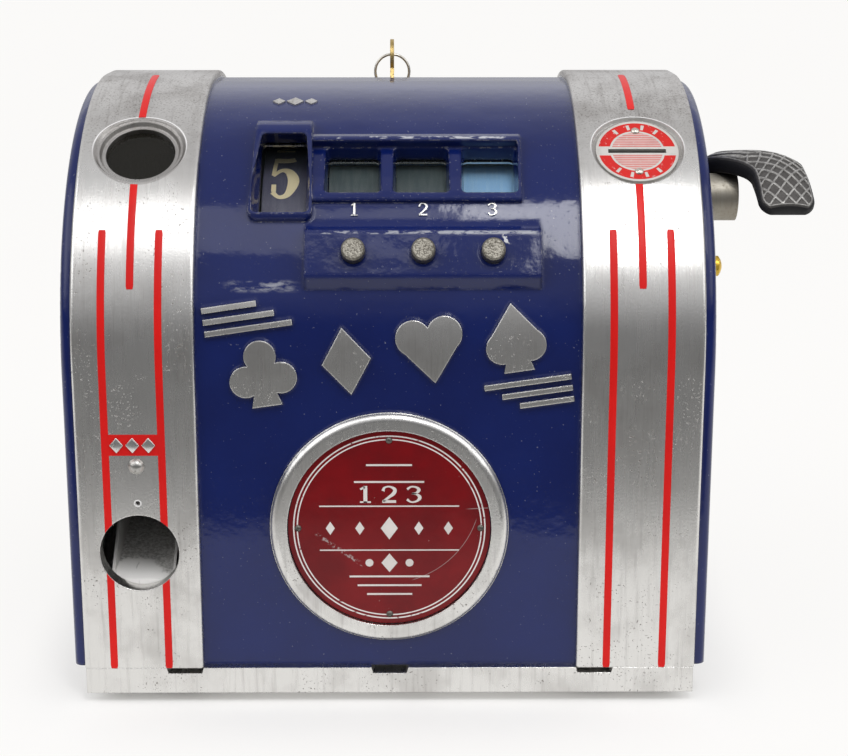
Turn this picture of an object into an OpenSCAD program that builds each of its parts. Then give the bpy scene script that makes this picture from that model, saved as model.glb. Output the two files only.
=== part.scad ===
// Counter coin game in a rounded cast cabinet, with reels, shutters, gum vendor and side lever.
// Millimetres, +Z up, origin on the floor under the middle of the base.

/* [Cabinet] */
// Width of the cabinet across its outer edges
cab_w = 240; // [238:1:250]
// Depth of the painted casting, front plane to back plane
cab_d = 194; // [190:1:204]
// Height of the casting from its lower edge to the crown
cab_h = 212; // [208:1:224]
// Radius of the rounded front
front_r = 98; // [96:0.5:100]
// Radius of the rounded back
back_r = 80; // [76:0.5:84]
// Wall of the casting
wall = 4; // [3.75:0.25:4.5]
// Rounding of the cabinet's outer edges
edge_r = 3.5; // [2:0.25:3.5]

/* [Bands] */
// Width of each polished band
band_w = 45; // [42:0.5:47]
// Distance from the cabinet's side to a band's outer edge
band_in = 4.5; // [4:0.25:5.5]
// Height of a band above the painted surface
band_t = 3; // [2.5:0.25:3.5]
// Rounding of a band's edges
band_r = 1.4; // [0.5:0.1:1.4]

/* [Base] */
// Distance that the base stands in from each side of the cabinet
base_in = 5; // [3:0.5:7]
// Distance that the base stands out at the front and the back
base_out = 3; // [2:0.25:4]
// Height of the base
base_h = 10; // [9:0.5:12]
// Thickness of the base's deck
deck_t = 4; // [3.5:0.25:5]
// Thickness of the base's skirt
skirt_t = 6; // [5:0.5:8]
// Height of the rubber feet
foot_h = 4; // [3:0.5:6]
// Diameter of the rubber feet
foot_d = 18; // [16:0.5:20]
// Distance of a foot and its counter screw from the cabinet's side
foot_side = 40; // [38:0.5:46]
// Distance of a foot and its counter screw from the cabinet's front or back
foot_end = 17; // [16:0.5:22]
// Diameter of the counter screw holes
counter_d = 5.5; // [5:0.1:6]
// Thickness left over a counter screw hole
counter_roof = 2; // [1.5:0.25:3]
// Depth of the notches in the base's upper front edge
notch_h = 2.2; // [1.5:0.1:3]
// Width of a notch at its floor
notch_w = 12.7; // [10:0.1:14]

/* [Front] */
// Angle of the window row on the rounded front
window_a = 46; // [44:0.5:48]
// Pitch of the windows, reels and buttons
pitch = 25.4; // [25:0.1:26]
// Width of a selection window at the glass
window_w = 18.6; // [17:0.1:19]
// Height of a selection window at the glass
window_h = 19.7; // [18:0.1:20]
// Width of the odds window at the glass
odds_w = 16.8; // [16:0.1:17]
// Height of the odds window at the glass
odds_h = 34.3; // [32:0.1:34.5]
// Angle of the button block on the rounded front
button_a = 25.4; // [25:0.1:26]
// Diameter of a button
button_d = 8.6; // [8:0.1:9]
// Travel of a button
button_travel = 4; // [3:0.25:4]
// Angle of the porthole and the coin plate
round_a = 51; // [50:0.5:52]
// Diameter of the recess round the porthole and the coin plate
recess_d = 34.6; // [33:0.1:36]
// Diameter of the clear porthole
port_d = 26; // [24:0.5:27]
// Diameter of the coin plate
coin_plate_d = 31; // [30:0.1:32]
// Length of the coin slot
slot_l = 21.7; // [21.5:0.1:22.5]
// Width of the coin slot
slot_w = 2; // [1.9:0.1:2.4]
// Diameter of the gum outlet
outlet_d = 29.5; // [28:0.5:31]
// Height of the gum outlet above the cabinet's lower edge
outlet_h = 46; // [44:0.5:48]
// Outer diameter of the raised ring on the front
ring_d = 89; // [86:1:92]
// Height of the ring's centre, as a share of the upright front
ring_share = 0.4825; // [0.46:0.0025:0.5]
// Radius of the enamel disc
disc_r = 37.7; // [36:0.1:38.5]
// Thickness of the enamel disc
disc_t = 1.2; // [1:0.1:1.6]

/* [Reels] */
// Radius of a reel
reel_r = 46.5; // [45:0.25:47]
// Width of a reel
reel_w = 20; // [19:0.25:20.5]
// Diameter of the reel shaft
reel_shaft_d = 6; // [5:0.25:7]
// Distance from the rounded front's centre to the reel shaft
reel_off = 37.5; // [37:0.25:38]
// Radius of the star wheels
star_r = 24; // [22:0.5:25]
// Thickness of a star wheel
star_t = 2.2; // [2:0.1:2.4]
// Thickness of the shutters
shutter_t = 1.2; // [1:0.1:1.4]
// Angle that a shutter opens through
shutter_open = 32; // [28:1:34]

/* [Frame] */
// Distance between the frame plates
frame_gap = 104; // [103:0.5:106]
// Thickness of the frame plates
frame_t = 2.5; // [2:0.25:3]
// Diameter of the tie rods
tie_d = 8; // [7:0.25:9]
// Diameter of the main shaft
main_d = 8; // [7:0.25:9]
// Diameter of the stop bail's rod
bail_d = 5; // [4:0.25:6]

/* [Lever] */
// Diameter of the lever shaft
lever_shaft_d = 8; // [7:0.25:9]
// Diameter of the lever hub
hub_d = 19; // [18:0.5:21]
// Width of the lever's pad
pad_w = 20.5; // [19:0.5:23]
// Thickness of the lever's arm
arm_t = 5.5; // [5:0.25:6.5]
// Radius of the lever's arched back
arch_r = 58; // [56:0.5:60]
// Length of the cranks on the lever shaft and the main shaft
crank_l = 22; // [20:0.5:24]
// Travel of the lever
lever_travel = 38; // [30:1:40]

/* [Back door] */
// Distance from a band to the door's edge
door_side = 2.8; // [2:0.1:4]
// Thickness of the door
door_t = 2.5; // [2:0.25:3]
// Angle on the rounded back where the door ends
door_a = 76; // [74:0.5:78]
// Angle on the rounded back where the lock sits
lock_a = 64; // [62:0.5:65]
// Diameter of the lock's body
lock_d = 16; // [15:0.25:17]
// Diameter of the hinge barrel
barrel_d = 5.2; // [4.8:0.1:5.6]
// Diameter of the hinge pin
pin_d = 2.5; // [2:0.1:2.8]

/* [Fits] */
// Radial clearance of a running fit
run = 0.05; // [0.03:0.01:0.08]
// Gap between pieces that lie against each other
gap = 0.3; // [0.2:0.05:0.4]

/* [Hidden] */
$fn = 64;
eps = 0.01;

// Heights and centres of the cabinet's side outline
deck_z = foot_h + base_h;
crown_z = deck_z + cab_h;
front_y = -cab_d / 2;
arc_y = front_y + front_r;
arc_z = crown_z - front_r;
back_y = cab_d / 2 - back_r;
back_z = crown_z - back_r;
inner_r = front_r - wall;
inner_x = cab_w / 2 - wall;
band_x = cab_w / 2 - band_in - band_w;
band_c = band_x + band_w / 2;
round_x = band_c;
base_w = cab_w - 2 * base_in;
base_d = cab_d + 2 * base_out;
foot_dx = cab_w - 2 * foot_side;
foot_dy = cab_d - 2 * foot_end;

// Rows of windows, reels and buttons
row_x = -1.5 * pitch;
function row(i) = row_x + i * pitch;
pad_r = sqrt(pow(inner_r, 2) - pow(21, 2)) - 0.1;
glass_t = 2;
retainer_t = 1;
reel_y = arc_y - reel_off * cos(window_a);
reel_z = arc_z + reel_off * sin(window_a);
shutter_in = reel_r + 1.5;
hood_x0 = row(0) - 12.1;
hood_x1 = row(0) + 9.6;
frame_x1 = row(3) + 11;
frame_low = 14.4;
ledge_t = 11.7;
window_at = [-0.7, 0.35];
odds_at = [-1.4, 1.35];

// Buttons: face of the block, floor of the pocket behind it and the bracket
block_r = front_r + 4.5;
pocket_r = block_r - 5.5;
collar_t = 1.5;
spring_l = 2 * button_travel + 0.2;
bracket_r = pocket_r - gap - collar_t - spring_l;
bracket_t = 1.3;
button_out = 5;
tail_d = 4;

// Frame plates and the shafts that they carry
plate_x = frame_gap / 2;
main_y = 10;
main_z = deck_z + 61;
bail_y = 32;
bail_z = crown_z - 76;
tie_at = [[-20, deck_z + 16], [50, deck_z + 16], [22, crown_z - 38]];
tie_end_d = 5;
foot_flange = 14;
frame_screw_y = [-24, 46];
frame_screw_d = 4;
nut_h = 4;
finger_t = star_t - 0.5;

// Lever: the axis, the arch's centre and the pieces along the shaft
lever_y = arc_y - 41;
lever_z = crown_z - 41;
arch_y = lever_y - 8;
arch_z = lever_z - 43;
wall_out = cab_w / 2;
hub_x0 = wall_out + gap;
hub_x1 = wall_out + 14;
crank_t = 3;
link_t = 3;
crank_x1 = inner_x - 6;
crank_x0 = crank_x1 - crank_t;
link_x0 = crank_x1 + gap;
crank_pin_d = 5;
bush_d = lever_shaft_d + 6;
spring_x = crank_x0 - 6;
spring_pin_d = 4;
root_y = lever_y + 13;
tip_y = lever_y - 45;
arm_x0 = hub_x0 + 1.7;
pad_x0 = hub_x1 + 2;
pad_corner = 5;
pad_crown = 1.6;
pad_bulge = 2.2;
neck_crown = 3.4;
side_screw_at = [arc_y - 74, arc_z + 35.4];
side_screw_d = 4;

// Back door, its hinge and the lock
door_z0 = deck_z + 4.3;
door_y = cab_d / 2;
door_w = 2 * (band_x - door_side);
hinge_y = base_d / 2 + 0.75;
hinge_z = deck_z + barrel_d / 2 + 1;
lock_flange_t = 1.6;
cam_depth = 9;
cam_t = 2;
plug_d = lock_d - 6;
key_t = 1.6;
key_hole = 17.5;
key_hole_d = 3;
ring_r = 7.4;
ring_wire = 1.2;
blade_w = 7;
door_knuckles = [[-44, -20], [20, 44]];
base_knuckles = [[-60, -44.5], [-19.5, 19.5], [44.5, 60]];

// Gum vendor and coin path
gum_x = -round_x;
gum_wheel_r = 18;
gum_wheel_w = 22;
outlet_z = deck_z + outlet_h;
chute_w = 24;
sheet_t = 1;
coin_y = arc_y - 57;
ring_z = deck_z + ring_share * (arc_z - deck_z);

// Seats of the porthole glass and the coin plate
round_floor = front_r - 0.4;
port_glass_d = port_d + 3;
port_seat_r = front_r - 2.5;
port_boss_d = port_d + 14;
port_boss_r = port_seat_r - 4;
rivet_d = 2.5;
gum_rivet_up = 33.7;
rivet_t = [-10.5, 10.5];
disc_screw_d = 1.6;
disc_screw_at = [[34, 0], [0, 34], [-34, 0], [0, -34]];

// Lugs that take the cabinet screws
lug_at = [[-1, -1], [1, -1], [-1, 1], [1, 1]];
lug_x = inner_x - 12;
lug_y = cab_d / 2 - 13;
lug_d = 12;
lug_h = 16;
lug_screw_d = 4;

// Lays a side outline (y, z) down along X
module along_x(x0, length) {
    translate([x0, 0, 0]) rotate([90, 0, 90]) linear_extrude(length) children();
}

// Turns +Z to the outward normal of the rounded front at angle a
module on_front(a) {
    translate([0, arc_y, arc_z]) rotate([90 - a, 0, 0]) children();
}

// Turns +Z to the outward normal of the rounded back at angle a
module on_back(a) {
    translate([0, back_y, back_z]) rotate([a - 90, 0, 0]) children();
}

// Tube or rod along X between two stations
module rod_x(x0, x1, y, z, d) {
    translate([x0, y, z]) rotate([0, 90, 0]) cylinder(d = d, h = x1 - x0);
}

// Rectangle with round corners, centred
module round_rect(w, h, r) {
    square([w - 2 * r, h], center = true);
    square([w, h - 2 * r], center = true);
    for (sx = [-1, 1], sy = [-1, 1]) translate([sx * (w / 2 - r), sy * (h / 2 - r)]) circle(r);
}

// Side outline of the cabinet, set in from the painted surface
module loaf(inset) {
    translate([front_y + inset, deck_z]) square([front_r - inset, arc_z - deck_z]);
    translate([arc_y, deck_z]) square([back_y - arc_y, crown_z - inset - deck_z]);
    translate([back_y, deck_z]) square([back_r - inset, back_z - deck_z]);
    intersection() {
        translate([arc_y, arc_z]) circle(front_r - inset, $fn = 128);
        translate([arc_y - front_r, arc_z]) square(front_r);
    }
    intersection() {
        translate([back_y, back_z]) circle(back_r - inset, $fn = 128);
        translate([back_y, back_z]) square(back_r);
    }
}

// One quarter of a round edge, for a section's corner
module edge_quarter(r0, side) {
    intersection() {
        translate([r0 - edge_r, side * (cab_w / 2 - edge_r)]) circle(edge_r);
        translate([r0 - edge_r, side > 0 ? cab_w / 2 - edge_r : -cab_w / 2]) square(edge_r);
    }
}

// Section across the casting: wall, round outer edges and the two raised bands
module casting_section(r0) {
    translate([r0 - wall, -cab_w / 2]) square([wall - edge_r, cab_w]);
    translate([r0 - edge_r, edge_r - cab_w / 2]) square([edge_r, cab_w - 2 * edge_r]);
    for (side = [-1, 1]) {
        edge_quarter(r0, side);
        translate([r0 - 1, side * band_c - band_w / 2]) square([1 + band_t - band_r, band_w]);
        translate([r0 - 1, side * band_c - band_w / 2 + band_r]) square([1 + band_t, band_w - 2 * band_r]);
        for (edge = [-1, 1])
            translate([r0 + band_t - band_r, side * band_c + edge * (band_w / 2 - band_r)]) circle(band_r);
    }
}

// Stretches of a section swept round the cabinet's outline
module sweep_front() {
    translate([0, arc_y, deck_z]) rotate([0, 0, -90]) linear_extrude(arc_z - deck_z) casting_section(front_r);
    translate([0, arc_y, arc_z]) rotate([90, 0, -90]) rotate_extrude(angle = 90, $fn = 128)
        casting_section(front_r);
}

module sweep_back() {
    translate([0, arc_y, 0]) rotate([90, 0, 90]) rotate([90, 0, 90]) linear_extrude(back_y - arc_y)
        casting_section(crown_z);
    translate([0, back_y, back_z]) rotate([90, 0, -90]) rotate([0, 0, 90])
        rotate_extrude(angle = 90, $fn = 128) casting_section(back_r);
    translate([0, back_y, deck_z]) rotate([0, 0, 90]) linear_extrude(back_z - deck_z) casting_section(back_r);
}

// Side view of the back's stretch from angle a on the rounded back down to height z0
module door_outline(a, z0) {
    reach = back_r + 20;
    polygon([
        [back_y, back_z],
        [back_y + reach * cos(a), back_z + reach * sin(a)],
        [door_y + reach, back_z + reach * sin(a)],
        [door_y + reach, z0],
        [door_y - wall - 2, z0],
        [door_y - wall - 2, back_z]
    ]);
}

// Opening in the back, between the bands
module door_opening() {
    along_x(-door_w / 2 - gap, door_w + 2 * gap) door_outline(door_a, door_z0 - gap);
}

// Traditional card suits, as outlines about 2 * s tall
module heart(s) {
    for (side = [-1, 1]) translate([side * s * 0.46, s * 0.4]) circle(s * 0.52);
    polygon([[-s * 0.93, s * 0.19], [0, s * 0.5], [s * 0.93, s * 0.19], [0, -s]]);
}

module stem(s) {
    polygon([[-s * 0.14, 0], [s * 0.14, 0], [s * 0.45, -s], [-s * 0.45, -s]]);
}

module spade(s) {
    translate([0, s * 0.1]) rotate(180) heart(s * 0.9);
    stem(s);
}

module club(s) {
    translate([0, s * 0.5]) circle(s * 0.47);
    for (side = [-1, 1]) translate([side * s * 0.52, -s * 0.2]) circle(s * 0.47);
    translate([0, -s * 0.05]) circle(s * 0.35);
    stem(s);
}

module diamond(s) {
    polygon([[0, s], [s * 0.72, 0], [0, -s], [-s * 0.72, 0]]);
}

// Rising row of suits between two groups of stepped bars, raised on the painted front
module front_ornament() {
    suit = 12.5;
    suit_pitch = 31;
    relief = 1.8;
    tilt = 8;
    bar = 2;
    bar_step = 4.2;
    difference() {
        intersection() {
            translate([0, front_y + front_r / 4, arc_z + 7]) rotate([90, 0, 0]) linear_extrude(front_r / 2)
                rotate(tilt) {
                    translate([-1.5 * suit_pitch, 0]) club(suit);
                    translate([-0.5 * suit_pitch, 0]) diamond(suit);
                    translate([0.5 * suit_pitch, 0]) heart(suit);
                    translate([1.5 * suit_pitch, 0]) spade(suit);
                    for (side = [-1, 1], i = [0 : 2])
                        translate([side * (49 + 3 * i), -side * (17 + bar_step * i)])
                            square([32 - 6 * i, bar], center = true);
                }
            union() {
                translate([-band_x, front_y - relief, deck_z]) cube([2 * band_x, relief + 1, arc_z - deck_z]);
                translate([0, arc_y, arc_z]) rotate([90, 0, -90]) rotate_extrude(angle = 60, $fn = 128)
                    translate([front_r - 1, -band_x]) square([relief + 1, 2 * band_x]);
            }
        }
        translate([0, front_y + 5, ring_z]) rotate([90, 0, 0]) cylinder(d = ring_d + 4, h = 20);
    }
}

// Prism on the rounded front: an outline (along the arc, outward) laid between two X stations
module front_prism(a, x0, x1) {
    on_front(a) translate([x0, 0, 0]) rotate([90, 0, 90]) linear_extrude(x1 - x0) children();
}

// Raised hood of the odds window, frame of the selection windows, their flat inner pad and the button block
module front_blocks() {
    intersection() {
        front_prism(window_a, hood_x0 - 3, hood_x1 + 3)
            polygon([[-22, pad_r + 2], [-22, front_r - 0.8], [-20.8, front_r + 1], [13, front_r + 4.5],
                [16, front_r + 4.6], [18.6, front_r + 4.1], [21, front_r + 2.9], [23.4, front_r + 0.8],
                [27, front_r - 4], [27, pad_r + 1], [20, pad_r + 2]]);
        on_front(window_a) translate([row(0), 0, pad_r]) linear_extrude(front_r) hood_plan();
    }
    difference() {
        front_prism(window_a, hood_x1 - 0.6, frame_x1)
            polygon([[-frame_low, pad_r + 2], [-frame_low, front_r + 0.4], [0.8 - frame_low, front_r + 1.1],
                [11, front_r + 3.2], [13, front_r + 3.2], [14.2, front_r + 2.8], [16.5, front_r + 1.2],
                [18.4, front_r - 2], [18.4, pad_r + 2]]);
        front_prism(window_a, hood_x1 - 1, frame_x1 - 1.3)
            polygon([[-11.2, front_r + 1.4], [ledge_t, front_r - 2.6], [ledge_t, front_r + 20],
                [-11.2, front_r + 20]]);
    }
    front_prism(window_a, hood_x0 - 3, frame_x1 + 3)
        polygon([[-21, pad_r], [-20, pad_r + 3], [20, pad_r + 3], [21, pad_r]]);
    front_prism(button_a, row(1) - 17.8, row(3) + 17.6)
        polygon([[-12.7, inner_r + 1], [-12.7, front_r - 0.7], [-10.5, front_r + 2.6], [-9.6, block_r - 0.6],
            [-8.4, block_r], [7.2, block_r], [8.3, block_r - 0.5], [9, block_r - 1.4], [9.9, front_r + 1],
            [11.2, front_r - 0.2], [14, front_r - 1], [14, inner_r + 1]]);
}

// Outline of the odds hood, looking straight at it
module hood_plan() {
    $fn = 24;
    r = 3;
    hull() for (p = [[-10.5, -19], [-8.2, 24], [6.2, 24], [7.1, -19]]) translate(p) circle(r);
}

// Ring round the enamel disc
module front_ring() {
    bead = 3;
    translate([0, front_y, ring_z]) rotate([90, 0, 0]) rotate_extrude($fn = 128) {
        translate([disc_r + gap, -1]) square([ring_d / 2 - disc_r - gap, 2]);
        translate([disc_r + gap, 0]) square([ring_d / 2 - disc_r - gap - bead, bead]);
        intersection() {
            translate([ring_d / 2 - bead, 0]) circle(bead);
            translate([ring_d / 2 - bead, 0]) square(bead);
        }
    }
}

// Selection window with drafted walls, from the glass outward
module window_cut(i) {
    $fn = 24;
    draft = 2.3;
    out_r = front_r + 8;
    translate([row(i), 0, 0]) hull() {
        translate([window_at[0], window_at[1], pad_r - 1]) linear_extrude(1)
            round_rect(window_w, window_h, 1.6);
        translate([window_at[0], 0, out_r]) linear_extrude(1)
            round_rect(window_w + 2 * draft, window_h + 2 * draft + 1, 2.4);
    }
}

// Odds window: its sill and left wall fall away outward, its ceiling rises inward
module odds_cut() {
    $fn = 24;
    low = odds_at[1] - odds_h / 2;
    high = odds_at[1] + odds_h / 2;
    left = odds_at[0] - odds_w / 2;
    right = odds_at[0] + odds_w / 2;
    r = 2;
    translate([row(0), 0, 0]) hull() {
        translate([odds_at[0], odds_at[1], pad_r - 1]) linear_extrude(1) round_rect(odds_w, odds_h, r);
        translate([0, 0, front_r + 8]) linear_extrude(1) hull()
            for (p = [[left - 4.4 + r, low - 7.9 + r], [left + 0.5 + r, high - 6 - r],
                [right + 0.7 - r, high - 6 - r], [right + 3.2 - r, low - 7.9 + r]]) translate(p) circle(r);
    }
}

// Stepped recess round the porthole, in section
module port_recess(deep) {
    r = recess_d / 2;
    rotate_extrude($fn = 96) polygon([[0, 0], [port_d / 2 + 1.2, 0], [r - 2.1, 1.7], [r - 1.4, 1.7],
        [r, 3.3], [r, deep], [0, deep]]);
}

// Window, button, porthole, coin and gum openings
module front_openings() {
    deep = 40;
    on_front(window_a) {
        for (i = [1 : 3]) window_cut(i);
        odds_cut();
        retainer_holes(pad_r - 1, 4.5);
    }
    on_front(button_a) {
        translate([row(1) - 15, -7.5, bracket_r - 10])
            cube([row(3) - row(1) + 30, 15, pocket_r - bracket_r + 10]);
        for (i = [1 : 3]) translate([row(i), 0, pocket_r - 1]) cylinder(d = button_d + 2 * run, h = deep);
    }
    on_front(round_a) {
        translate([round_x, 0, round_floor]) cylinder(d = recess_d, h = deep);
        translate([gum_x, 0, round_floor]) port_recess(deep);
        translate([gum_x, 0, 60]) cylinder(d = port_d, h = deep);
        translate([gum_x, 0, 60]) cylinder(d = port_glass_d + 2 * gap, h = port_seat_r - 60);
        translate([round_x, 0, 60]) linear_extrude(deep) square([slot_l + 3, slot_w + 6], center = true);
        for (t = rivet_t) translate([round_x, t, 60]) cylinder(d = rivet_d + 2 * run, h = deep);
    }
    translate([gum_x, front_y + 20, outlet_z]) rotate([90, 0, 0]) cylinder(d = outlet_d, h = deep);
    translate([gum_x, front_y + 20, outlet_z + gum_rivet_up]) rotate([90, 0, 0])
        cylinder(d = rivet_d + 2 * run, h = deep);
    translate([gum_x, front_y + 20, outlet_z + 19.4]) rotate([90, 0, 0]) cylinder(d = 1.8, h = deep);
    for (p = disc_screw_at) translate([p[0], front_y + 20, ring_z + p[1]]) rotate([90, 0, 0])
        cylinder(d = disc_screw_d + 2 * run, h = deep);
}

// Small holes for the screws that hold the window glass retainer
module retainer_holes(r, depth) {
    for (x = [hood_x0 - 0.5, frame_x1 + 0.5], t = [-17.5, 17.5])
        translate([x, t, r]) cylinder(d = 2 + 2 * run, h = depth);
}

module base() {
    color("lightgray") difference() {
        translate([-base_w / 2, -base_d / 2, foot_h]) cube([base_w, base_d, base_h]);
        difference() {
            translate([skirt_t - base_w / 2, skirt_t - base_d / 2, foot_h - eps])
                cube([base_w - 2 * skirt_t, base_d - 2 * skirt_t, base_h - deck_t + eps]);
            foot_places() translate([0, 0, foot_h - 1]) cylinder(d = foot_d + 4, h = base_h);
        }
        foot_places() translate([0, 0, foot_h - 1]) cylinder(d = counter_d, h = base_h - counter_roof + 1);
        for (p = lug_at) translate([p[0] * lug_x, p[1] * lug_y, foot_h])
            cylinder(d = lug_screw_d + 2 * run, h = base_h + 1);
        for (side = [-1, 1], y = frame_screw_y)
            translate([side * (plate_x + frame_t + foot_flange / 2), y, foot_h])
                cylinder(d = frame_screw_d + 2 * run, h = base_h + 1);
        for (x = [-band_x - 7, 0, band_x + 7]) translate([x, 10 - base_d / 2, deck_z]) rotate([90, 0, 0])
            linear_extrude(20) polygon([[-notch_w / 2 - 0.9, 1], [notch_w / 2 + 0.9, 1],
                [notch_w / 2, -notch_h], [-notch_w / 2, -notch_h]]);
    }
}

// The four places of the feet and counter screws
module foot_places() {
    for (sx = [-1, 1], sy = [-1, 1]) translate([sx * foot_dx / 2, sy * foot_dy / 2, 0]) children();
}

module rubber_feet() {
    color("black") foot_places() difference() {
        cylinder(d = foot_d, h = foot_h);
        translate([0, 0, -1]) cylinder(d = counter_d, h = foot_h + 2);
    }
}

module cabinet() {
    color("navy") difference() {
        union() {
            sweep_front();
            sweep_back();
            for (x = [-cab_w / 2, inner_x]) along_x(x, wall) loaf(edge_r);
            front_blocks();
            front_ring();
            front_ornament();
            on_front(round_a) translate([gum_x, 0, port_boss_r])
                cylinder(d = port_boss_d, h = front_r - port_boss_r - 1);
            for (p = lug_at) {
                translate([p[0] * lug_x, p[1] * lug_y, deck_z]) cylinder(d = lug_d, h = lug_h);
                translate([p[0] > 0 ? lug_x : -inner_x - 1, p[1] * lug_y - lug_d / 2, deck_z])
                    cube([inner_x + 1 - lug_x, lug_d, lug_h]);
            }
        }
        front_openings();
        door_opening();
        for (p = lug_at) translate([p[0] * lug_x, p[1] * lug_y, deck_z - 1])
            cylinder(d = lug_screw_d + 2 * run, h = lug_h - 1);
        rod_x(inner_x - 1, wall_out + 1, lever_y, lever_z, bush_d);
        rod_x(inner_x - 1, wall_out + 1, side_screw_at[0], side_screw_at[1], side_screw_d + 2 * run);
    }
}

module cabinet_screws() {
    color("silver") for (p = lug_at) translate([p[0] * lug_x, p[1] * lug_y, 0]) {
        translate([0, 0, deck_z - deck_t - 2.4]) cylinder(d = 7, h = 2.4);
        translate([0, 0, deck_z - deck_t - eps]) cylinder(d = lug_screw_d, h = deck_t + lug_h - 4);
    }
}

module window_glass() {
    color("lightblue", 0.4) on_front(window_a)
        translate([hood_x0 + 1.5, -20, pad_r - glass_t]) cube([frame_x1 - hood_x0 - 3, 40, glass_t]);
}

// Sheet frame behind the glass, bent forward at its ends to the screws
module glass_retainer() {
    x0 = hood_x0 - 2.5;
    x1 = frame_x1 + 2.5;
    color("dimgray") on_front(window_a) difference() {
        union() {
            translate([x0, -20, pad_r - glass_t - retainer_t]) cube([x1 - x0, 40, retainer_t]);
            for (x = [x0, x1 - 3.9]) translate([x, -20, pad_r - glass_t - eps]) cube([3.9, 40, glass_t]);
        }
        for (i = [1 : 3]) translate([row(i) + window_at[0], window_at[1], pad_r - 8]) linear_extrude(20)
            round_rect(window_w + 1, window_h + 1, 2);
        translate([row(0) + odds_at[0], odds_at[1], pad_r - 8]) linear_extrude(20)
            round_rect(odds_w + 1, odds_h + 1, 2);
        retainer_holes(pad_r - 8, 20);
    }
}

module retainer_screws() {
    head = pad_r - glass_t - retainer_t;
    color("silver") on_front(window_a) for (x = [hood_x0 - 0.5, frame_x1 + 0.5], t = [-17.5, 17.5]) {
        translate([x, t, head - 0.8]) cylinder(d = 3.6, h = 0.8);
        translate([x, t, head - eps]) cylinder(d = 2, h = glass_t + retainer_t + 3);
    }
}

module porthole_glass() {
    color("lightblue", 0.4) on_front(round_a)
        translate([gum_x, 0, port_seat_r - glass_t]) cylinder(d = port_glass_d, h = glass_t);
}

module porthole_ring() {
    color("silver") on_front(round_a) translate([gum_x, 0, port_boss_r]) difference() {
        cylinder(d = port_glass_d + 2 * gap, h = port_seat_r - glass_t - port_boss_r);
        translate([0, 0, -1]) cylinder(d = port_d - 1, h = 10);
    }
}

module coin_plate() {
    color("firebrick") on_front(round_a) translate([round_x, 0, round_floor]) difference() {
        cylinder(d = coin_plate_d, h = 1.5);
        translate([0, 0, -1]) linear_extrude(5) square([slot_l, slot_w], center = true);
        for (t = rivet_t) translate([0, t, -1]) cylinder(d = rivet_d + 2 * run, h = 5);
    }
}

// Round-headed fastener standing on z = 0, its shank below
module dome_fastener(head_d, head_h, shank_d, shank_l) {
    ball = (pow(head_d / 2, 2) + pow(head_h, 2)) / (2 * head_h);
    intersection() {
        translate([0, 0, head_h - ball]) sphere(ball);
        cylinder(d = head_d, h = head_h + 1);
    }
    translate([0, 0, -shank_l]) cylinder(d = shank_d, h = shank_l + eps);
}

module coin_plate_rivets() {
    color("silver") on_front(round_a) for (t = rivet_t)
        translate([round_x, t, round_floor + 1.5]) dome_fastener(3.4, 0.9, rivet_d, 4.5);
}

module front_disc() {
    color("darkred") translate([0, front_y, ring_z]) rotate([90, 0, 0]) difference() {
        cylinder(r = disc_r, h = disc_t, $fn = 128);
        for (p = disc_screw_at) translate([p[0], p[1], -1]) cylinder(d = disc_screw_d + 2 * run, h = 5);
    }
}

module disc_screws() {
    color("silver") for (p = disc_screw_at)
        translate([p[0], front_y - disc_t, ring_z + p[1]]) rotate([90, 0, 0])
            dome_fastener(2.6, 0.7, disc_screw_d, 4);
}

module gum_rivet() {
    color("silver") translate([gum_x, front_y - band_t, outlet_z + gum_rivet_up]) rotate([90, 0, 0])
        dome_fastener(6, 2, rivet_d, band_t + wall - 0.5);
}

module side_screw() {
    head_d = 7.6;
    barrel = 2.9;
    color("gold") translate([wall_out, side_screw_at[0], side_screw_at[1]]) rotate([0, 90, 0]) {
        cylinder(d = head_d, h = barrel);
        translate([0, 0, barrel - eps]) dome_fastener(head_d, 1.4, side_screw_d, wall - 0.5 + barrel);
    }
}

// Coil spring standing on z = 0, one unbroken tube
module coil(mean_r, wire, length, turns) {
    sides = 6;
    steps = 8;
    rings = turns * steps;
    rise = (length - wire) / rings;
    points = [for (i = [0 : rings], j = [0 : sides - 1])
        let (turn = 360 * i / steps, side = 360 * j / sides, r = mean_r + wire / 2 * cos(side))
            [r * cos(turn), r * sin(turn), wire / 2 + i * rise + wire / 2 * sin(side)]];
    walls = [for (i = [0 : rings - 1], j = [0 : sides - 1], half = [0, 1])
        let (a = i * sides + j, b = i * sides + (j + 1) % sides, c = b + sides, d = a + sides)
            half == 0 ? [a, b, c] : [a, c, d]];
    first = [for (j = [1 : sides - 2]) [0, j + 1, j]];
    last = [for (j = [1 : sides - 2]) [rings * sides, rings * sides + j, rings * sides + j + 1]];
    polyhedron(points, concat(first, walls, last));
}

// Push button: plunger, inner collar and guided tail
module button(i) {
    bevel = 0.6;
    foot_r = pocket_r - gap;
    edge_z = block_r + button_out - bevel;
    color("silver") on_front(button_a) translate([row(i), 0, 0]) {
        translate([0, 0, foot_r - eps]) cylinder(d = button_d, h = edge_z - foot_r);
        translate([0, 0, edge_z - 2 * eps]) cylinder(d1 = button_d, d2 = button_d - 2 * bevel, h = bevel);
        translate([0, 0, foot_r - collar_t]) cylinder(d = button_d + 3, h = collar_t);
        translate([0, 0, bracket_r - bracket_t - 0.4])
            cylinder(d = tail_d, h = spring_l + bracket_t + 0.4 + eps);
    }
}

module button_spring(i) {
    color("gray") on_front(button_a) translate([row(i), 0, bracket_r])
        coil(tail_d / 2 + 1.2, 0.8, spring_l, 4);
}

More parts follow.
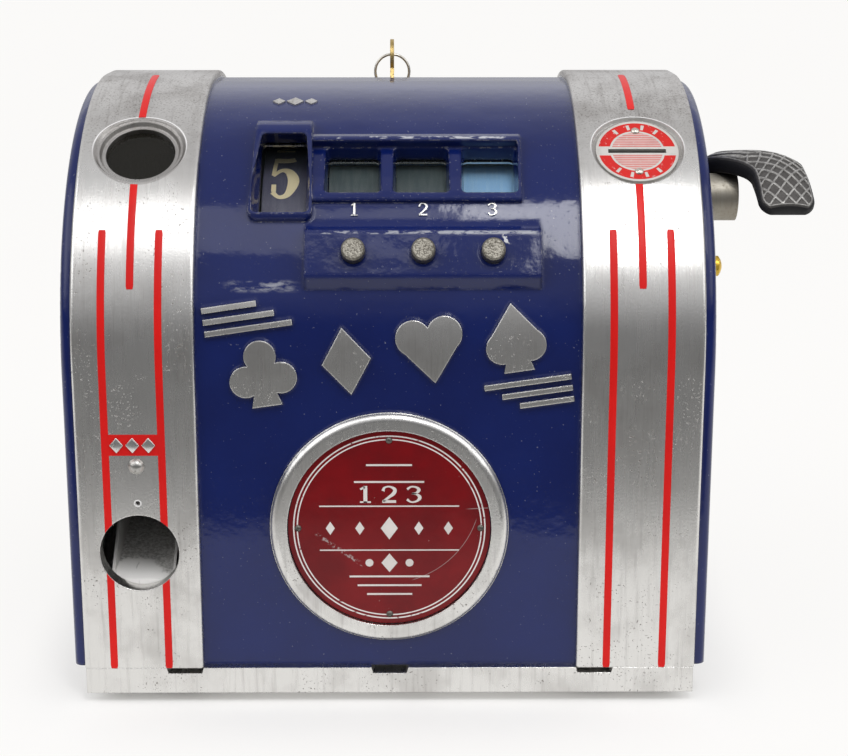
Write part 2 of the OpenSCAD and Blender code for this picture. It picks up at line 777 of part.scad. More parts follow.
module button_bracket() {
    x0 = row(1) - 19;
    x1 = row(3) + 19;
    leg_r = sqrt(pow(inner_r, 2) - 49) - gap;
    color("dimgray") on_front(button_a) difference() {
        union() {
            translate([x0, -7, bracket_r - bracket_t]) cube([x1 - x0, 14, bracket_t]);
            for (x = [x0, x1 - bracket_t])
                translate([x, -7, bracket_r - eps]) cube([bracket_t, 14, leg_r - bracket_r]);
        }
        for (i = [1 : 3]) translate([row(i), 0, bracket_r - 5]) cylinder(d = tail_d + 2 * run, h = 10);
    }
}

// Frame plate on the right; the left one is its mirror image
module frame_plate() {
    y0 = -44;
    y1 = 62;
    difference() {
        union() {
            along_x(plate_x, frame_t) polygon([[y0, deck_z], [y1, deck_z], [y1, crown_z - 112],
                [46, crown_z - 52], [32, crown_z - 28], [-4, crown_z - 28], [y0, crown_z - 62]]);
            translate([plate_x + frame_t - eps, y0, deck_z]) cube([foot_flange + eps, y1 - y0, frame_t]);
        }
        rod_x(0, cab_w, reel_y, reel_z, reel_shaft_d + 2 * run);
        rod_x(0, cab_w, main_y, main_z, main_d + 2 * run);
        rod_x(0, cab_w, bail_y, bail_z, bail_d + 2 * run);
        for (p = tie_at) rod_x(0, cab_w, p[0], p[1], tie_end_d + 2 * run);
        rod_x(0, cab_w, 38, deck_z + 92, 34);
        for (y = frame_screw_y) translate([plate_x + frame_t + foot_flange / 2, y, deck_z - 1])
            cylinder(d = frame_screw_d + 2 * run, h = 10);
    }
}

module left_frame() { color("slategray") mirror([1, 0, 0]) frame_plate(); }

module right_frame() { color("slategray") frame_plate(); }

module tie_rods() {
    reach = plate_x + frame_t + nut_h + 1;
    color("silver") for (p = tie_at) {
        rod_x(-plate_x, plate_x, p[0], p[1], tie_d);
        rod_x(-reach, reach, p[0], p[1], tie_end_d);
    }
}

module tie_nuts() {
    color("silver") for (p = tie_at, x = [-plate_x - frame_t - nut_h, plate_x + frame_t])
        translate([x, p[0], p[1]]) rotate([0, 90, 0]) difference() {
            cylinder(d = tie_end_d + 5, h = nut_h, $fn = 6);
            translate([0, 0, -1]) cylinder(d = tie_end_d + 2 * run, h = nut_h + 2);
        }
}

module frame_screws() {
    color("silver") for (side = [-1, 1], y = frame_screw_y)
        translate([side * (plate_x + frame_t + foot_flange / 2), y, deck_z + frame_t])
            dome_fastener(7, 2.4, frame_screw_d, frame_t + deck_t);
}

module reel_shaft() {
    edge = plate_x + frame_t;
    color("silver") {
        rod_x(-edge, edge, reel_y, reel_z, reel_shaft_d);
        for (x = [-edge - 2, edge]) rod_x(x, x + 2, reel_y, reel_z, reel_shaft_d + 5);
    }
}

// Reel: drum, web, hub and star wheel
module reel(i) {
    x0 = row(i) - reel_w / 2;
    teeth = 10;
    difference() {
        union() {
            along_x(x0, reel_w) translate([reel_y, reel_z]) difference() {
                circle(reel_r, $fn = 128);
                circle(reel_r - 1.5, $fn = 128);
            }
            rod_x(x0, x0 + 2, reel_y, reel_z, 2 * reel_r - 1);
            rod_x(x0, x0 + reel_w, reel_y, reel_z, reel_shaft_d + 8);
            along_x(x0 - star_t, star_t) translate([reel_y, reel_z])
                polygon([for (k = [0 : 2 * teeth - 1]) let (r = k % 2 == 0 ? star_r : star_r - 6)
                    [r * cos(180 * k / teeth), r * sin(180 * k / teeth)]]);
        }
        rod_x(x0 - 5, x0 + reel_w + 5, reel_y, reel_z, reel_shaft_d + 2 * run);
    }
}

module odds_reel() { color("steelblue") reel(0); }

module reel_left() { color("lightsteelblue") reel(1); }

module reel_centre() { color("lightsteelblue") reel(2); }

module reel_right() { color("lightsteelblue") reel(3); }

// Wedge of half angle half round the reel shaft, in the side view
module wedge(half, r) {
    polygon([[0, 0], [r * cos(half), r * sin(half)], [r * cos(half), -r * sin(half)]]);
}

// Curved shutter between a reel and the glass, turned up by angle opened
module shutter(i, opened) {
    x0 = row(i) - reel_w / 2;
    arm_x = row(i) + reel_w / 2 + 0.6;
    arm_thick = 1.5;
    r1 = shutter_in + shutter_t;
    difference() {
        union() {
            along_x(x0, arm_x + arm_thick - x0) translate([reel_y, reel_z]) rotate(180 - window_a - opened)
                intersection() {
                    difference() {
                        circle(r1, $fn = 128);
                        circle(shutter_in, $fn = 128);
                    }
                    wedge(15, r1 * 1.2);
                }
            along_x(arm_x, arm_thick) translate([reel_y, reel_z]) rotate(180 - window_a - opened) {
                circle(d = reel_shaft_d + 8);
                intersection() {
                    circle(r1, $fn = 128);
                    wedge(9, r1 * 1.2);
                }
            }
        }
        rod_x(arm_x - 5, arm_x + 5, reel_y, reel_z, reel_shaft_d + 2 * run);
    }
}

module shutter_left() { color("darkslategray") shutter(1, 0); }

module shutter_centre() { color("darkslategray") shutter(2, 0); }

module shutter_right() { color("darkslategray") shutter(3, shutter_open); }

// Rod with one stop pawl for each star wheel
module stop_bail() {
    edge = plate_x + frame_t + 2;
    reach = norm([reel_y - bail_y, reel_z - bail_z]) - star_r - 0.6;
    turn = atan2(reel_z - bail_z, reel_y - bail_y);
    color("gray") {
        rod_x(-edge, edge, bail_y, bail_z, bail_d);
        for (i = [0 : 3]) along_x(row(i) - reel_w / 2 - star_t, finger_t) translate([bail_y, bail_z]) {
            circle(d = bail_d + 6);
            rotate(turn) polygon([[0, -4], [reach - 6, -3], [reach, 0], [reach - 6, 3], [0, 4]]);
        }
    }
}

module main_shaft() {
    color("silver") rod_x(gum_x - gum_wheel_w / 2 - 3, crank_x1, main_y, main_z, main_d);
}

// Sleeve on the main shaft with one finger for each star wheel
module reel_kicker() {
    x0 = row(0) - reel_w / 2 - star_t;
    reach = norm([reel_y - main_y, reel_z - main_z]) - star_r - 1;
    turn = atan2(reel_z - main_z, reel_y - main_y) - lever_travel;
    color("gray") difference() {
        union() {
            rod_x(x0, row(3) - reel_w / 2, main_y, main_z, main_d + 8);
            for (i = [0 : 3]) along_x(row(i) - reel_w / 2 - star_t, finger_t)
                translate([main_y, main_z]) rotate(turn)
                    polygon([[0, -7], [reach - 8, -4], [reach, -2], [reach, 2], [reach - 8, 4], [0, 7]]);
        }
        rod_x(x0 - 1, row(3), main_y, main_z, main_d + 2 * run);
    }
}

// Crank on a shaft at (y, z), its pin towards the back
module crank(y, z, shaft_d) {
    pin_x1 = link_x0 + link_t + gap;
    difference() {
        along_x(crank_x0, crank_t) translate([y, z]) {
            circle(d = shaft_d + 10);
            translate([crank_l, 0]) circle(d = crank_pin_d + 6);
            translate([0, -5]) square([crank_l, 10]);
        }
        rod_x(crank_x0 - 1, crank_x1 + 1, y, z, shaft_d + 2 * run);
    }
    rod_x(crank_x1 - eps, pin_x1, y + crank_l, z, crank_pin_d);
    rod_x(pin_x1 - eps, pin_x1 + 1.2, y + crank_l, z, crank_pin_d + 3);
}

module main_crank() {
    color("gray") {
        crank(main_y, main_z, main_d);
        rod_x(spring_x - 3, crank_x0 + eps, main_y + crank_l, main_z, spring_pin_d);
    }
}

module gum_wheel() {
    color("burlywood") difference() {
        rod_x(gum_x - gum_wheel_w / 2, gum_x + gum_wheel_w / 2, main_y, main_z, 2 * gum_wheel_r);
        along_x(gum_x - gum_wheel_w, 2 * gum_wheel_w) translate([main_y, main_z]) rotate(70)
            translate([gum_wheel_r, 0]) circle(9);
        rod_x(gum_x - gum_wheel_w, gum_x + gum_wheel_w, main_y, main_z, main_d + 2 * run);
    }
}

// Strap between the two crank pins, which stays parallel to itself
module drive_link() {
    lever_pin = [lever_y + crank_l, lever_z];
    main_pin = [main_y + crank_l, main_z];
    along = main_pin - lever_pin;
    color("gray") difference() {
        along_x(link_x0, link_t) translate(lever_pin) rotate(atan2(along[1], along[0])) {
            circle(d = crank_pin_d + 7);
            translate([norm(along), 0]) circle(d = crank_pin_d + 7);
            translate([0, -4]) square([norm(along), 8]);
        }
        for (p = [lever_pin, main_pin])
            rod_x(link_x0 - 1, link_x0 + link_t + 1, p[0], p[1], crank_pin_d + 2 * run);
    }
}

// Plan of the lever: narrow over the hub, swinging out to the pad, round at its two front corners
function ease(t) = let (c = max(0, min(1, t))) c * c * (3 - 2 * c);
function tip_inset(y) = let (u = max(0, 1 - (y - tip_y) / pad_corner)) pad_corner * (1 - sqrt(1 - u * u));
function arm_in(y) = arm_x0 + (pad_x0 - arm_x0) * ease((root_y - 3 - y) / 36) + tip_inset(y);
function arm_out(y) = hub_x1 + 1 + (pad_x0 + pad_w - hub_x1 - 1) * ease((root_y - y) / 33) - tip_inset(y);

// Height of the crowned back over the arch, and radius of the arm's underside, at station y
function arm_crown(y) = pad_crown + (neck_crown - pad_crown) * ease((y - tip_y - 22) / 30)
    + pad_bulge * ease((y - tip_y) / 14) * ease((tip_y + 48 - y) / 20);
function arm_low(y) = arch_r - arm_t + run + 1.5 * ease((tip_y + 20 - y) / 20);

// Section of the arm at station y, from its lower inner corner round to its upper inner edge
function arm_section(y, across) =
    let (middle = (arm_in(y) + arm_out(y)) / 2, half = (arm_out(y) - arm_in(y)) / 2, low = arm_low(y))
        concat([[middle - half + 0.6, low], [middle + half - 0.6, low]],
            [for (k = [0 : across]) let (u = 1 - 2 * k / across)
                [middle + half * u, arch_r + arm_crown(y) * (1 - u * u) - 0.9 * pow(u, 8)]]);

// Ring of the lever's arched arm, in the side view
module arch(r0, r1) {
    translate([arch_y, arch_z]) difference() {
        circle(r1, $fn = 128);
        circle(r0, $fn = 128);
    }
}

// Lever: crowned sections joined along the arch, from the root to the tip
module lever() {
    across = 8;
    sides = across + 3;
    steps = 16;
    run_l = root_y - tip_y - pad_corner;
    stations = concat([for (i = [0 : steps]) root_y - run_l * i / steps],
        [for (a = [18 : 18 : 90]) tip_y + pad_corner * (1 - sin(a))]);
    last_ring = (len(stations) - 1) * sides;
    points = [for (y = stations, p = arm_section(y, across))
        let (a = asin((y - arch_y) / arch_r)) [p[0], arch_y + p[1] * sin(a), arch_z + p[1] * cos(a)]];
    walls = [for (i = [0 : len(stations) - 2], j = [0 : sides - 1], half = [0, 1])
        let (a = i * sides + j, b = i * sides + (j + 1) % sides, c = b + sides, d = a + sides)
            half == 0 ? [a, c, b] : [a, d, c]];
    root = [for (j = [1 : sides - 2]) [0, j, j + 1]];
    tip = [for (j = [1 : sides - 2]) [last_ring, last_ring + j + 1, last_ring + j]];
    color("dimgray") polyhedron(points, concat(root, walls, tip));
}

module lever_hub() {
    color("silver") difference() {
        rod_x(hub_x0, hub_x1, lever_y, lever_z, hub_d);
        rod_x(hub_x0 - 1, hub_x1 - 2, lever_y, lever_z, lever_shaft_d + 2 * run);
        along_x(hub_x0 - 1, hub_x1 - hub_x0 + 2) arch(arch_r - arm_t, arch_r + hub_d);
    }
}

module lever_shaft() {
    color("silver") rod_x(crank_x0 - 1, hub_x1 - 2 - run, lever_y, lever_z, lever_shaft_d);
}

module lever_crank() { color("gray") crank(lever_y, lever_z, lever_shaft_d); }

module lever_bushing() {
    color("goldenrod") difference() {
        union() {
            rod_x(inner_x - 1.5, wall_out, lever_y, lever_z, bush_d - 2 * run);
            rod_x(inner_x - 1.5, inner_x, lever_y, lever_z, bush_d + 5);
        }
        rod_x(inner_x - 5, wall_out + 1, lever_y, lever_z, lever_shaft_d + 2 * run);
    }
}

module lever_spring() {
    color("gray") translate([spring_x, main_y + crank_l, deck_z])
        coil(4, 1.2, main_z - spring_pin_d / 2 - gap - deck_z, 16);
}

module coin_chute() {
    inner_w = slot_l + 2;
    inner_d = 5;
    z0 = deck_z + 70;
    top = arc_z + sqrt(pow(inner_r, 2) - pow(arc_y - coin_y + inner_d / 2 + sheet_t, 2)) - 2 * gap;
    plate_out = plate_x + frame_t;
    strap_z = crown_z - 86;
    color("darkgray") difference() {
        union() {
            translate([round_x - inner_w / 2 - sheet_t, coin_y - inner_d / 2 - sheet_t, z0])
                cube([inner_w + 2 * sheet_t, inner_d + 2 * sheet_t, top - z0]);
            translate([plate_out, coin_y, strap_z])
                cube([round_x - inner_w / 2 - plate_out - sheet_t / 2, 26, 1.5]);
            translate([plate_out, coin_y + 14, strap_z - 11]) cube([1.5, 12, 12]);
        }
        translate([round_x - inner_w / 2, coin_y - inner_d / 2, z0 - 1])
            cube([inner_w, inner_d, top - z0 + 2]);
    }
}

module cash_box() {
    x0 = plate_x + frame_t + foot_flange + 1.5;
    x1 = round_x + slot_l / 2 + 3;
    y0 = coin_y - 19;
    y1 = main_y - 18;
    h = 62;
    t = 1.2;
    color("darkgray") difference() {
        translate([x0, y0, deck_z]) cube([x1 - x0, y1 - y0, h]);
        translate([x0 + t, y0 + t, deck_z + t]) cube([x1 - x0 - 2 * t, y1 - y0 - 2 * t, h]);
    }
}

// Gum bin behind the porthole, with a sloped floor down to the gum wheel
module gum_hopper() {
    w = gum_wheel_w + 9;
    top = crown_z - 32;
    throat = main_z + gum_wheel_r + 1;
    front = arc_y - 53;
    back = main_y + 12;
    lip = main_y - 12;
    strap_z = crown_z - 106;
    plate_out = -plate_x - frame_t;
    color("darkgray") {
        difference() {
            along_x(gum_x - w / 2, w) polygon([[front, throat + 36], [front, top], [back, top],
                [back, throat], [lip, throat], [lip, throat + 3]]);
            along_x(gum_x - w / 2 + sheet_t, w - 2 * sheet_t)
                polygon([[front + sheet_t, throat + 36.6], [front + sheet_t, top + 1],
                    [back - sheet_t, top + 1], [back - sheet_t, throat - 1], [lip + sheet_t, throat - 1],
                    [lip + sheet_t, throat + 3.6]]);
        }
        translate([gum_x + w / 2 - sheet_t, main_y - 16, strap_z])
            cube([plate_out - gum_x - w / 2 + sheet_t, 14, 1.5]);
        translate([plate_out - 1.5, main_y - 16, strap_z - 11]) cube([1.5, 14, 12]);
    }
}

// Trough from the gum wheel down to the outlet
module gum_chute() {
    y0 = front_y + wall + gap;
    y1 = main_y - gum_wheel_r - 1.5;
    low = outlet_z - outlet_d / 2 + 1;
    high = low + 19;
    flange = 11;
    color("silver") {
        along_x(gum_x - chute_w / 2, chute_w)
            polygon([[y0, low], [y0, low + sheet_t], [y1, high + sheet_t], [y1, high]]);
        for (x = [gum_x - chute_w / 2, gum_x + chute_w / 2 - sheet_t]) along_x(x, sheet_t)
            polygon([[y0, low], [y0, low + 3], [y0 + 19, low + 19], [y1, high + 16], [y1, high]]);
        translate([gum_x - chute_w / 2, y0, low - flange]) cube([chute_w, sheet_t, flange + sheet_t / 2]);
    }
}

module back_door() {
    color("navy") difference() {
        union() {
            along_x(-door_w / 2, door_w) intersection() {
                difference() {
                    loaf(0);
                    loaf(door_t);
                }
                door_outline(door_a - 57.3 * gap / back_r, door_z0);
            }
            for (k = door_knuckles) {
                rod_x(k[0], k[1], hinge_y, hinge_z, barrel_d);
                translate([k[0], door_y - eps, door_z0])
                    cube([k[1] - k[0], hinge_y - door_y, hinge_z + barrel_d / 2 - door_z0]);
                translate([k[0], door_y - eps, door_z0]) cube([k[1] - k[0], 1, 14]);
            }
        }
        rod_x(-cab_w, cab_w, hinge_y, hinge_z, pin_d + 2 * run);
        on_back(lock_a) translate([0, 0, back_r - 10]) cylinder(d = lock_d + 2 * run, h = 20);
    }
}

module door_hinge() {
    x0 = base_knuckles[0][0];
    back = base_d / 2;
    color("goldenrod") difference() {
        union() {
            translate([x0, back, foot_h + 1.5]) cube([-2 * x0, 1.5, base_h - 1]);
            for (k = base_knuckles) {
                rod_x(k[0], k[1], hinge_y, hinge_z, barrel_d);
                translate([k[0], back, foot_h + 1.5]) cube([k[1] - k[0], 1.5, hinge_z - foot_h - 1.5]);
            }
        }
        rod_x(-cab_w, cab_w, hinge_y, hinge_z, pin_d + 2 * run);
    }
}

module hinge_pin() {
    reach = -base_knuckles[0][0] + 1;
    color("silver") rod_x(-reach, reach, hinge_y, hinge_z, pin_d);
}

module lock_body() {
    color("goldenrod") on_back(lock_a) difference() {
        union() {
            translate([0, 0, back_r]) cylinder(d = lock_d + 5, h = lock_flange_t);
            translate([0, 0, back_r - cam_depth]) cylinder(d = lock_d, h = cam_depth + eps);
        }
        translate([0, 0, back_r - cam_depth - 1]) cylinder(d = plug_d + 2 * run, h = 20);
    }
}

module lock_plug() {
    color("gold") on_back(lock_a) difference() {
        translate([0, 0, back_r - cam_depth - gap]) cylinder(d = plug_d, h = cam_depth + gap + lock_flange_t);
        translate([-key_t / 2 - run, -blade_w / 2 - run, back_r - 6])
            cube([key_t + 2 * run, blade_w + 2 * run, 20]);
    }
}

module lock_cam() {
    color("gray") on_back(lock_a) translate([0, 0, back_r - cam_depth - gap - cam_t]) linear_extrude(cam_t) {
        circle(d = lock_d - 2);
        translate([0, -4]) square([24, 8]);
    }
}

// Flat key standing edge-on to the front, and the ring that hangs from its bow
module key() {
    bow_r = 7.5;
    color("goldenrod") on_back(lock_a) difference() {
        union() {
            translate([-key_t / 2, -blade_w / 2, back_r - 6 + run]) cube([key_t, blade_w, key_hole]);
            translate([-key_t / 2, 0, back_r + key_hole - 2]) rotate([0, 90, 0])
                cylinder(r = bow_r, h = key_t);
        }
        translate([-key_t, 0, back_r + key_hole]) rotate([0, 90, 0])
            cylinder(d = key_hole_d, h = 2 * key_t);
    }
}

module key_ring() {
    hang = (key_hole_d - ring_wire) / 2 - run;
    eye_y = back_y + (back_r + key_hole) * cos(lock_a);
    eye_z = back_z + (back_r + key_hole) * sin(lock_a);
    color("silver") translate([0, eye_y, eye_z - hang - ring_r]) rotate([90, 0, 0])
        rotate_extrude() translate([ring_r, 0]) circle(d = ring_wire, $fn = 24);
}

base();
rubber_feet();
cabinet();
cabinet_screws();
window_glass();
glass_retainer();
retainer_screws();
porthole_glass();
porthole_ring();
coin_plate();
coin_plate_rivets();
front_disc();
disc_screws();
gum_rivet();
side_screw();
button(1);  // button_left
button(2);  // button_centre
button(3);  // button_right
button_spring(1);  // button_spring_left
button_spring(2);  // button_spring_centre
button_spring(3);  // button_spring_right
button_bracket();
left_frame();
right_frame();
tie_rods();
tie_nuts();
frame_screws();
reel_shaft();
odds_reel();
reel_left();
reel_centre();
reel_right();
shutter_left();
shutter_centre();
shutter_right();
stop_bail();
main_shaft();
reel_kicker();
main_crank();
gum_wheel();
drive_link();
lever();
lever_hub();
lever_shaft();
lever_crank();
lever_bushing();
lever_spring();
coin_chute();
cash_box();
gum_hopper();
gum_chute();
back_door();
door_hinge();
hinge_pin();
lock_body();
lock_plug();
lock_cam();
key();
key_ring();
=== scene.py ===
"""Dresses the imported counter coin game: finishes, stripes, numerals, knurled lever, springs and studio."""

from __future__ import annotations

import logging
import math
from dataclasses import dataclass, field
from enum import Enum
from typing import Callable, Dict, List, Mapping, Optional, Sequence, Tuple, Union

import bmesh
import bpy
from mathutils import Matrix, Vector

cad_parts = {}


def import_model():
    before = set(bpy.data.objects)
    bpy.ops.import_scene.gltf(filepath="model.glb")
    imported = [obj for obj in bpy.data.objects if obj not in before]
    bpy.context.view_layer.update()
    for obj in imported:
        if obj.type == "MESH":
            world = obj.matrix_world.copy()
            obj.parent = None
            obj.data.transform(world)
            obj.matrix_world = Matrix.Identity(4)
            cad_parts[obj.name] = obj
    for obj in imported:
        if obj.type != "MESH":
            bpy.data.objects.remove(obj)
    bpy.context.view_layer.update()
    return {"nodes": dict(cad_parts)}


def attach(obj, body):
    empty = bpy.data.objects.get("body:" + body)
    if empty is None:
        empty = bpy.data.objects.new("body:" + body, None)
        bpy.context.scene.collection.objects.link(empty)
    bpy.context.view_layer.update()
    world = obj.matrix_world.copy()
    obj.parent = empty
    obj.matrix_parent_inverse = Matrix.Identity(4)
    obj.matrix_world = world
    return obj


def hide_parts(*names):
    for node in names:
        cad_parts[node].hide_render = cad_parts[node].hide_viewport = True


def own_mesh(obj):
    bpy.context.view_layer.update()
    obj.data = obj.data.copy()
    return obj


LOG = logging.getLogger("coin_game")
MM = 0.001
BEVEL_SAMPLES = 4
WIRE_SEGMENTS = 10
DOT_SEGMENTS = 16
MERGE_DISTANCE = 1e-7
SHARP_ANGLE = math.radians(40.0)
Colour = Tuple[float, float, float]
Point = Tuple[float, float]
Corners = Sequence[bmesh.types.BMVert]
Link = Union["Signal", float, Sequence[float]]


class Signal:
    """A node's output that takes part in Python arithmetic."""

    def __init__(self, recipe: "Recipe", socket: bpy.types.NodeSocket) -> None:
        """Keeps the output and the recipe that it belongs to."""
        self.recipe = recipe
        self.socket = socket

    def _math(self, operation: str, first: Link, second: Link = 0.0) -> "Signal":
        """Adds one Math node."""
        return self.recipe.node("ShaderNodeMath", {"operation": operation}, {0: first, 1: second})

    def __add__(self, other: Link) -> "Signal":
        """Sum."""
        return self._math("ADD", self, other)

    __radd__ = __add__

    def __sub__(self, other: Link) -> "Signal":
        """Difference."""
        return self._math("SUBTRACT", self, other)

    def __rsub__(self, other: Link) -> "Signal":
        """Reflected difference."""
        return self._math("SUBTRACT", other, self)

    def __mul__(self, other: Link) -> "Signal":
        """Product."""
        return self._math("MULTIPLY", self, other)

    __rmul__ = __mul__

    def __truediv__(self, other: Link) -> "Signal":
        """Quotient."""
        return self._math("DIVIDE", self, other)

    def __pow__(self, other: Link) -> "Signal":
        """Power."""
        return self._math("POWER", self, other)

    def __abs__(self) -> "Signal":
        """Size without sign."""
        return self._math("ABSOLUTE", self)

    def least(self, other: Link) -> "Signal":
        """Smaller of the two."""
        return self._math("MINIMUM", self, other)

    def most(self, other: Link) -> "Signal":
        """Larger of the two."""
        return self._math("MAXIMUM", self, other)

    def root(self) -> "Signal":
        """Square root."""
        return self._math("SQRT", self)

    def turn(self) -> "Signal":
        """Fraction left after the whole number."""
        return self._math("FRACT", self)

    def bearing(self, other: Link) -> "Signal":
        """Angle of the point whose second number this is, in radians."""
        return self._math("ARCTAN2", self, other)

    def rise(self, low: float, high: float) -> "Signal":
        """Smooth step.

        Args:
            low: Value where the step is 0.
            high: Value where the step is 1; below low, the step falls.

        Returns:
            The step, from 0 to 1.
        """
        first, last = (low, high) if low < high else (high, low)
        ends = (0.0, 1.0) if low < high else (1.0, 0.0)
        return self.recipe.node(
            "ShaderNodeMapRange",
            {"interpolation_type": "SMOOTHSTEP"},
            {0: self, 1: first, 2: last, 3: ends[0], 4: ends[1]},
        )

    def within(self, low: float, high: float, soft: float) -> "Signal":
        """Band between two values with soft edges."""
        return self.rise(low - soft, low + soft) * self.rise(high + soft, high - soft)


class Recipe:
    """One procedural material, built node by node."""

    def __init__(self, name: str, tree: Optional[bpy.types.NodeTree] = None) -> None:
        """Starts an empty material, or takes another node tree.

        Args:
            name: The material's name.
            tree: A node tree to fill instead.
        """
        self.material: Optional[bpy.types.Material] = None
        if tree is None:
            self.material = bpy.data.materials.new(name)
            self.material.use_nodes = True
            tree = self.material.node_tree
            tree.nodes.clear()
        self.tree = tree
        self._place: Optional[Signal] = None

    def node(
        self,
        kind: str,
        settings: Optional[Mapping[str, object]] = None,
        values: Optional[Mapping[Union[str, int], Link]] = None,
        output: Union[str, int] = 0,
    ) -> Signal:
        """Adds a node.

        Args:
            kind: The node's type.
            settings: Its own settings, set first; stops are a ramp's positions and colours.
            values: Numbers or links of its sockets.
            output: The output to hand on.

        Returns:
            That output.
        """
        made = self.tree.nodes.new(kind)
        for key, value in (settings or {}).items():
            if key == "stops":
                ramp = made.color_ramp
                while len(ramp.elements) < len(value):
                    ramp.elements.new(0.5)
                for element, (position, colour) in zip(ramp.elements, value):
                    element.position = position
                    element.color = (*colour, 1.0)
            else:
                setattr(made, key, value)
        for key, value in (values or {}).items():
            if isinstance(value, Signal):
                self.tree.links.new(value.socket, made.inputs[key])
            else:
                made.inputs[key].default_value = value
        return Signal(self, made.outputs[output] if made.outputs else None)

    def place(self) -> Signal:
        """Object coordinates in millimetres.

        Returns:
            The coordinates, made at the first call.
        """
        if self._place is None:
            raw = self.node("ShaderNodeTexCoord", output="Object")
            values = {0: raw, "Scale": 1 / MM}
            self._place = self.node("ShaderNodeVectorMath", {"operation": "SCALE"}, values)
        return self._place

    def turned(self, centre: Sequence[float], angle: float) -> Signal:
        """Coordinates about a centre, turned about X so that the third one runs outwards.

        Args:
            centre: The centre in millimetres.
            angle: Turn about X in radians.

        Returns:
            The new coordinates.
        """
        return self.node(
            "ShaderNodeMapping",
            {"vector_type": "TEXTURE"},
            {"Vector": self.place(), "Location": tuple(centre), "Rotation": (angle, 0.0, 0.0)},
        )

    def axes(self, vector: Optional[Signal] = None) -> Tuple[Signal, Signal, Signal]:
        """The three numbers of a vector.

        Args:
            vector: The vector, by default the place.

        Returns:
            Its numbers along X, Y and Z.
        """
        source = vector or self.place()
        first = self.node("ShaderNodeSeparateXYZ", values={0: source})
        outs = first.socket.node.outputs
        return Signal(self, outs[0]), Signal(self, outs[1]), Signal(self, outs[2])

    def stretched(self, factors: Sequence[float]) -> Signal:
        """The place with each direction scaled."""
        values = {0: self.place(), 1: tuple(factors)}
        return self.node("ShaderNodeVectorMath", {"operation": "MULTIPLY"}, values)

    def noise(
        self, grain: float, detail: float = 3.0, rough: float = 0.5, where: Optional[Signal] = None
    ) -> Signal:
        """Cloudy pattern.

        Args:
            grain: Size of its features in millimetres.
            detail: Octaves.
            rough: Weight of the finer octaves.
            where: Coordinates, by default the place.

        Returns:
            Values about 0.5.
        """
        vector = where or self.place()
        values = {"Vector": vector, "Scale": 1 / grain, "Detail": detail, "Roughness": rough}
        return self.node("ShaderNodeTexNoise", values=values)

    def mix(self, share: Link, first: Link, second: Link) -> Signal:
        """Colour between two colours."""
        values = {0: share, 6: self._rgba(first), 7: self._rgba(second)}
        return self.node("ShaderNodeMix", {"data_type": "RGBA"}, values, 2)

    @staticmethod
    def _rgba(value: Link) -> Link:
        """Adds the fourth number to a plain colour."""
        return value if isinstance(value, Signal) else (*value, 1.0)

    def bevel(self, radius: float) -> Signal:
        """Normal that rounds the edges by a radius in millimetres."""
        return self.node("ShaderNodeBevel", {"samples": BEVEL_SAMPLES}, {"Radius": radius * MM})

    def bump(self, height: Signal, depth: float, base: Optional[Signal] = None) -> Signal:
        """Normal from a height pattern.

        Args:
            height: Pattern from 0 to 1.
            depth: Relief in millimetres.
            base: Normal to start from.

        Returns:
            The new normal.
        """
        values: Dict[Union[str, int], Link] = {"Height": height, "Distance": depth * MM, "Strength": 1.0}
        if base is not None:
            values["Normal"] = base
        return self.node("ShaderNodeBump", values=values)

    def finish(self, **sockets: Link) -> bpy.types.Material:
        """Closes the material with a shader.

        Args:
            **sockets: The shader's sockets, with _ for a space.

        Returns:
            The material.
        """
        values: Dict[Union[str, int], Link] = {}
        for key, value in sockets.items():
            name = key.replace("_", " ")
            values[name] = self._rgba(value) if name.endswith("Color") else value
        shader = self.node("ShaderNodeBsdfPrincipled", values=values)
        self.node("ShaderNodeOutputMaterial", values={0: shader})
        return self.material


@dataclass(frozen=True)
class Outline:
    """The cabinet's side outline and the places on it, in millimetres."""

    front_y: float = -97.0
    arc_y: float = 1.0
    arc_z: float = 128.0
    front_r: float = 98.0
    back_y: float = 17.0
    back_z: float = 146.0
    back_r: float = 80.0
    band_in: float = 70.5
    band_out: float = 115.5
    band_t: float = 3.0
    ring_z: float = 69.0
    round_x: float = 93.0
    round_a: float = math.radians(51.0)
    recess_r: float = 17.3
    hole_z: float = 79.4
    window_a: float = math.radians(46.0)
    button_a: float = math.radians(25.4)
    reel_off: float = 37.5
    reel_r: float = 46.5
    pitch: float = 25.4

    def on_front(self, x: float, s: float, h: float) -> Vector:
        """A point on the front.

        Args:
            x: Distance from the centre line.
            s: Length along the outline from where the rounding starts, upwards.
            h: Height above the painted surface.

        Returns:
            The point in metres.
        """
        if s < 0:
            return Vector((x, self.front_y - h, self.arc_z + s)) * MM
        angle = s / self.front_r
        radius = self.front_r + h
        y = self.arc_y - radius * math.cos(angle)
        return Vector((x, y, self.arc_z + radius * math.sin(angle))) * MM

    def at(self, degrees: float) -> float:
        """Length along the outline at an angle on the rounding."""
        return self.front_r * math.radians(degrees)

    def reel_axis(self) -> Point:
        """Side view of the reels' axis."""
        y = self.arc_y - self.reel_off * math.cos(self.window_a)
        return y, self.arc_z + self.reel_off * math.sin(self.window_a)

    def row(self, index: int) -> float:
        """Middle of a window row."""
        return (index - 1.5) * self.pitch


OUTLINE = Outline()


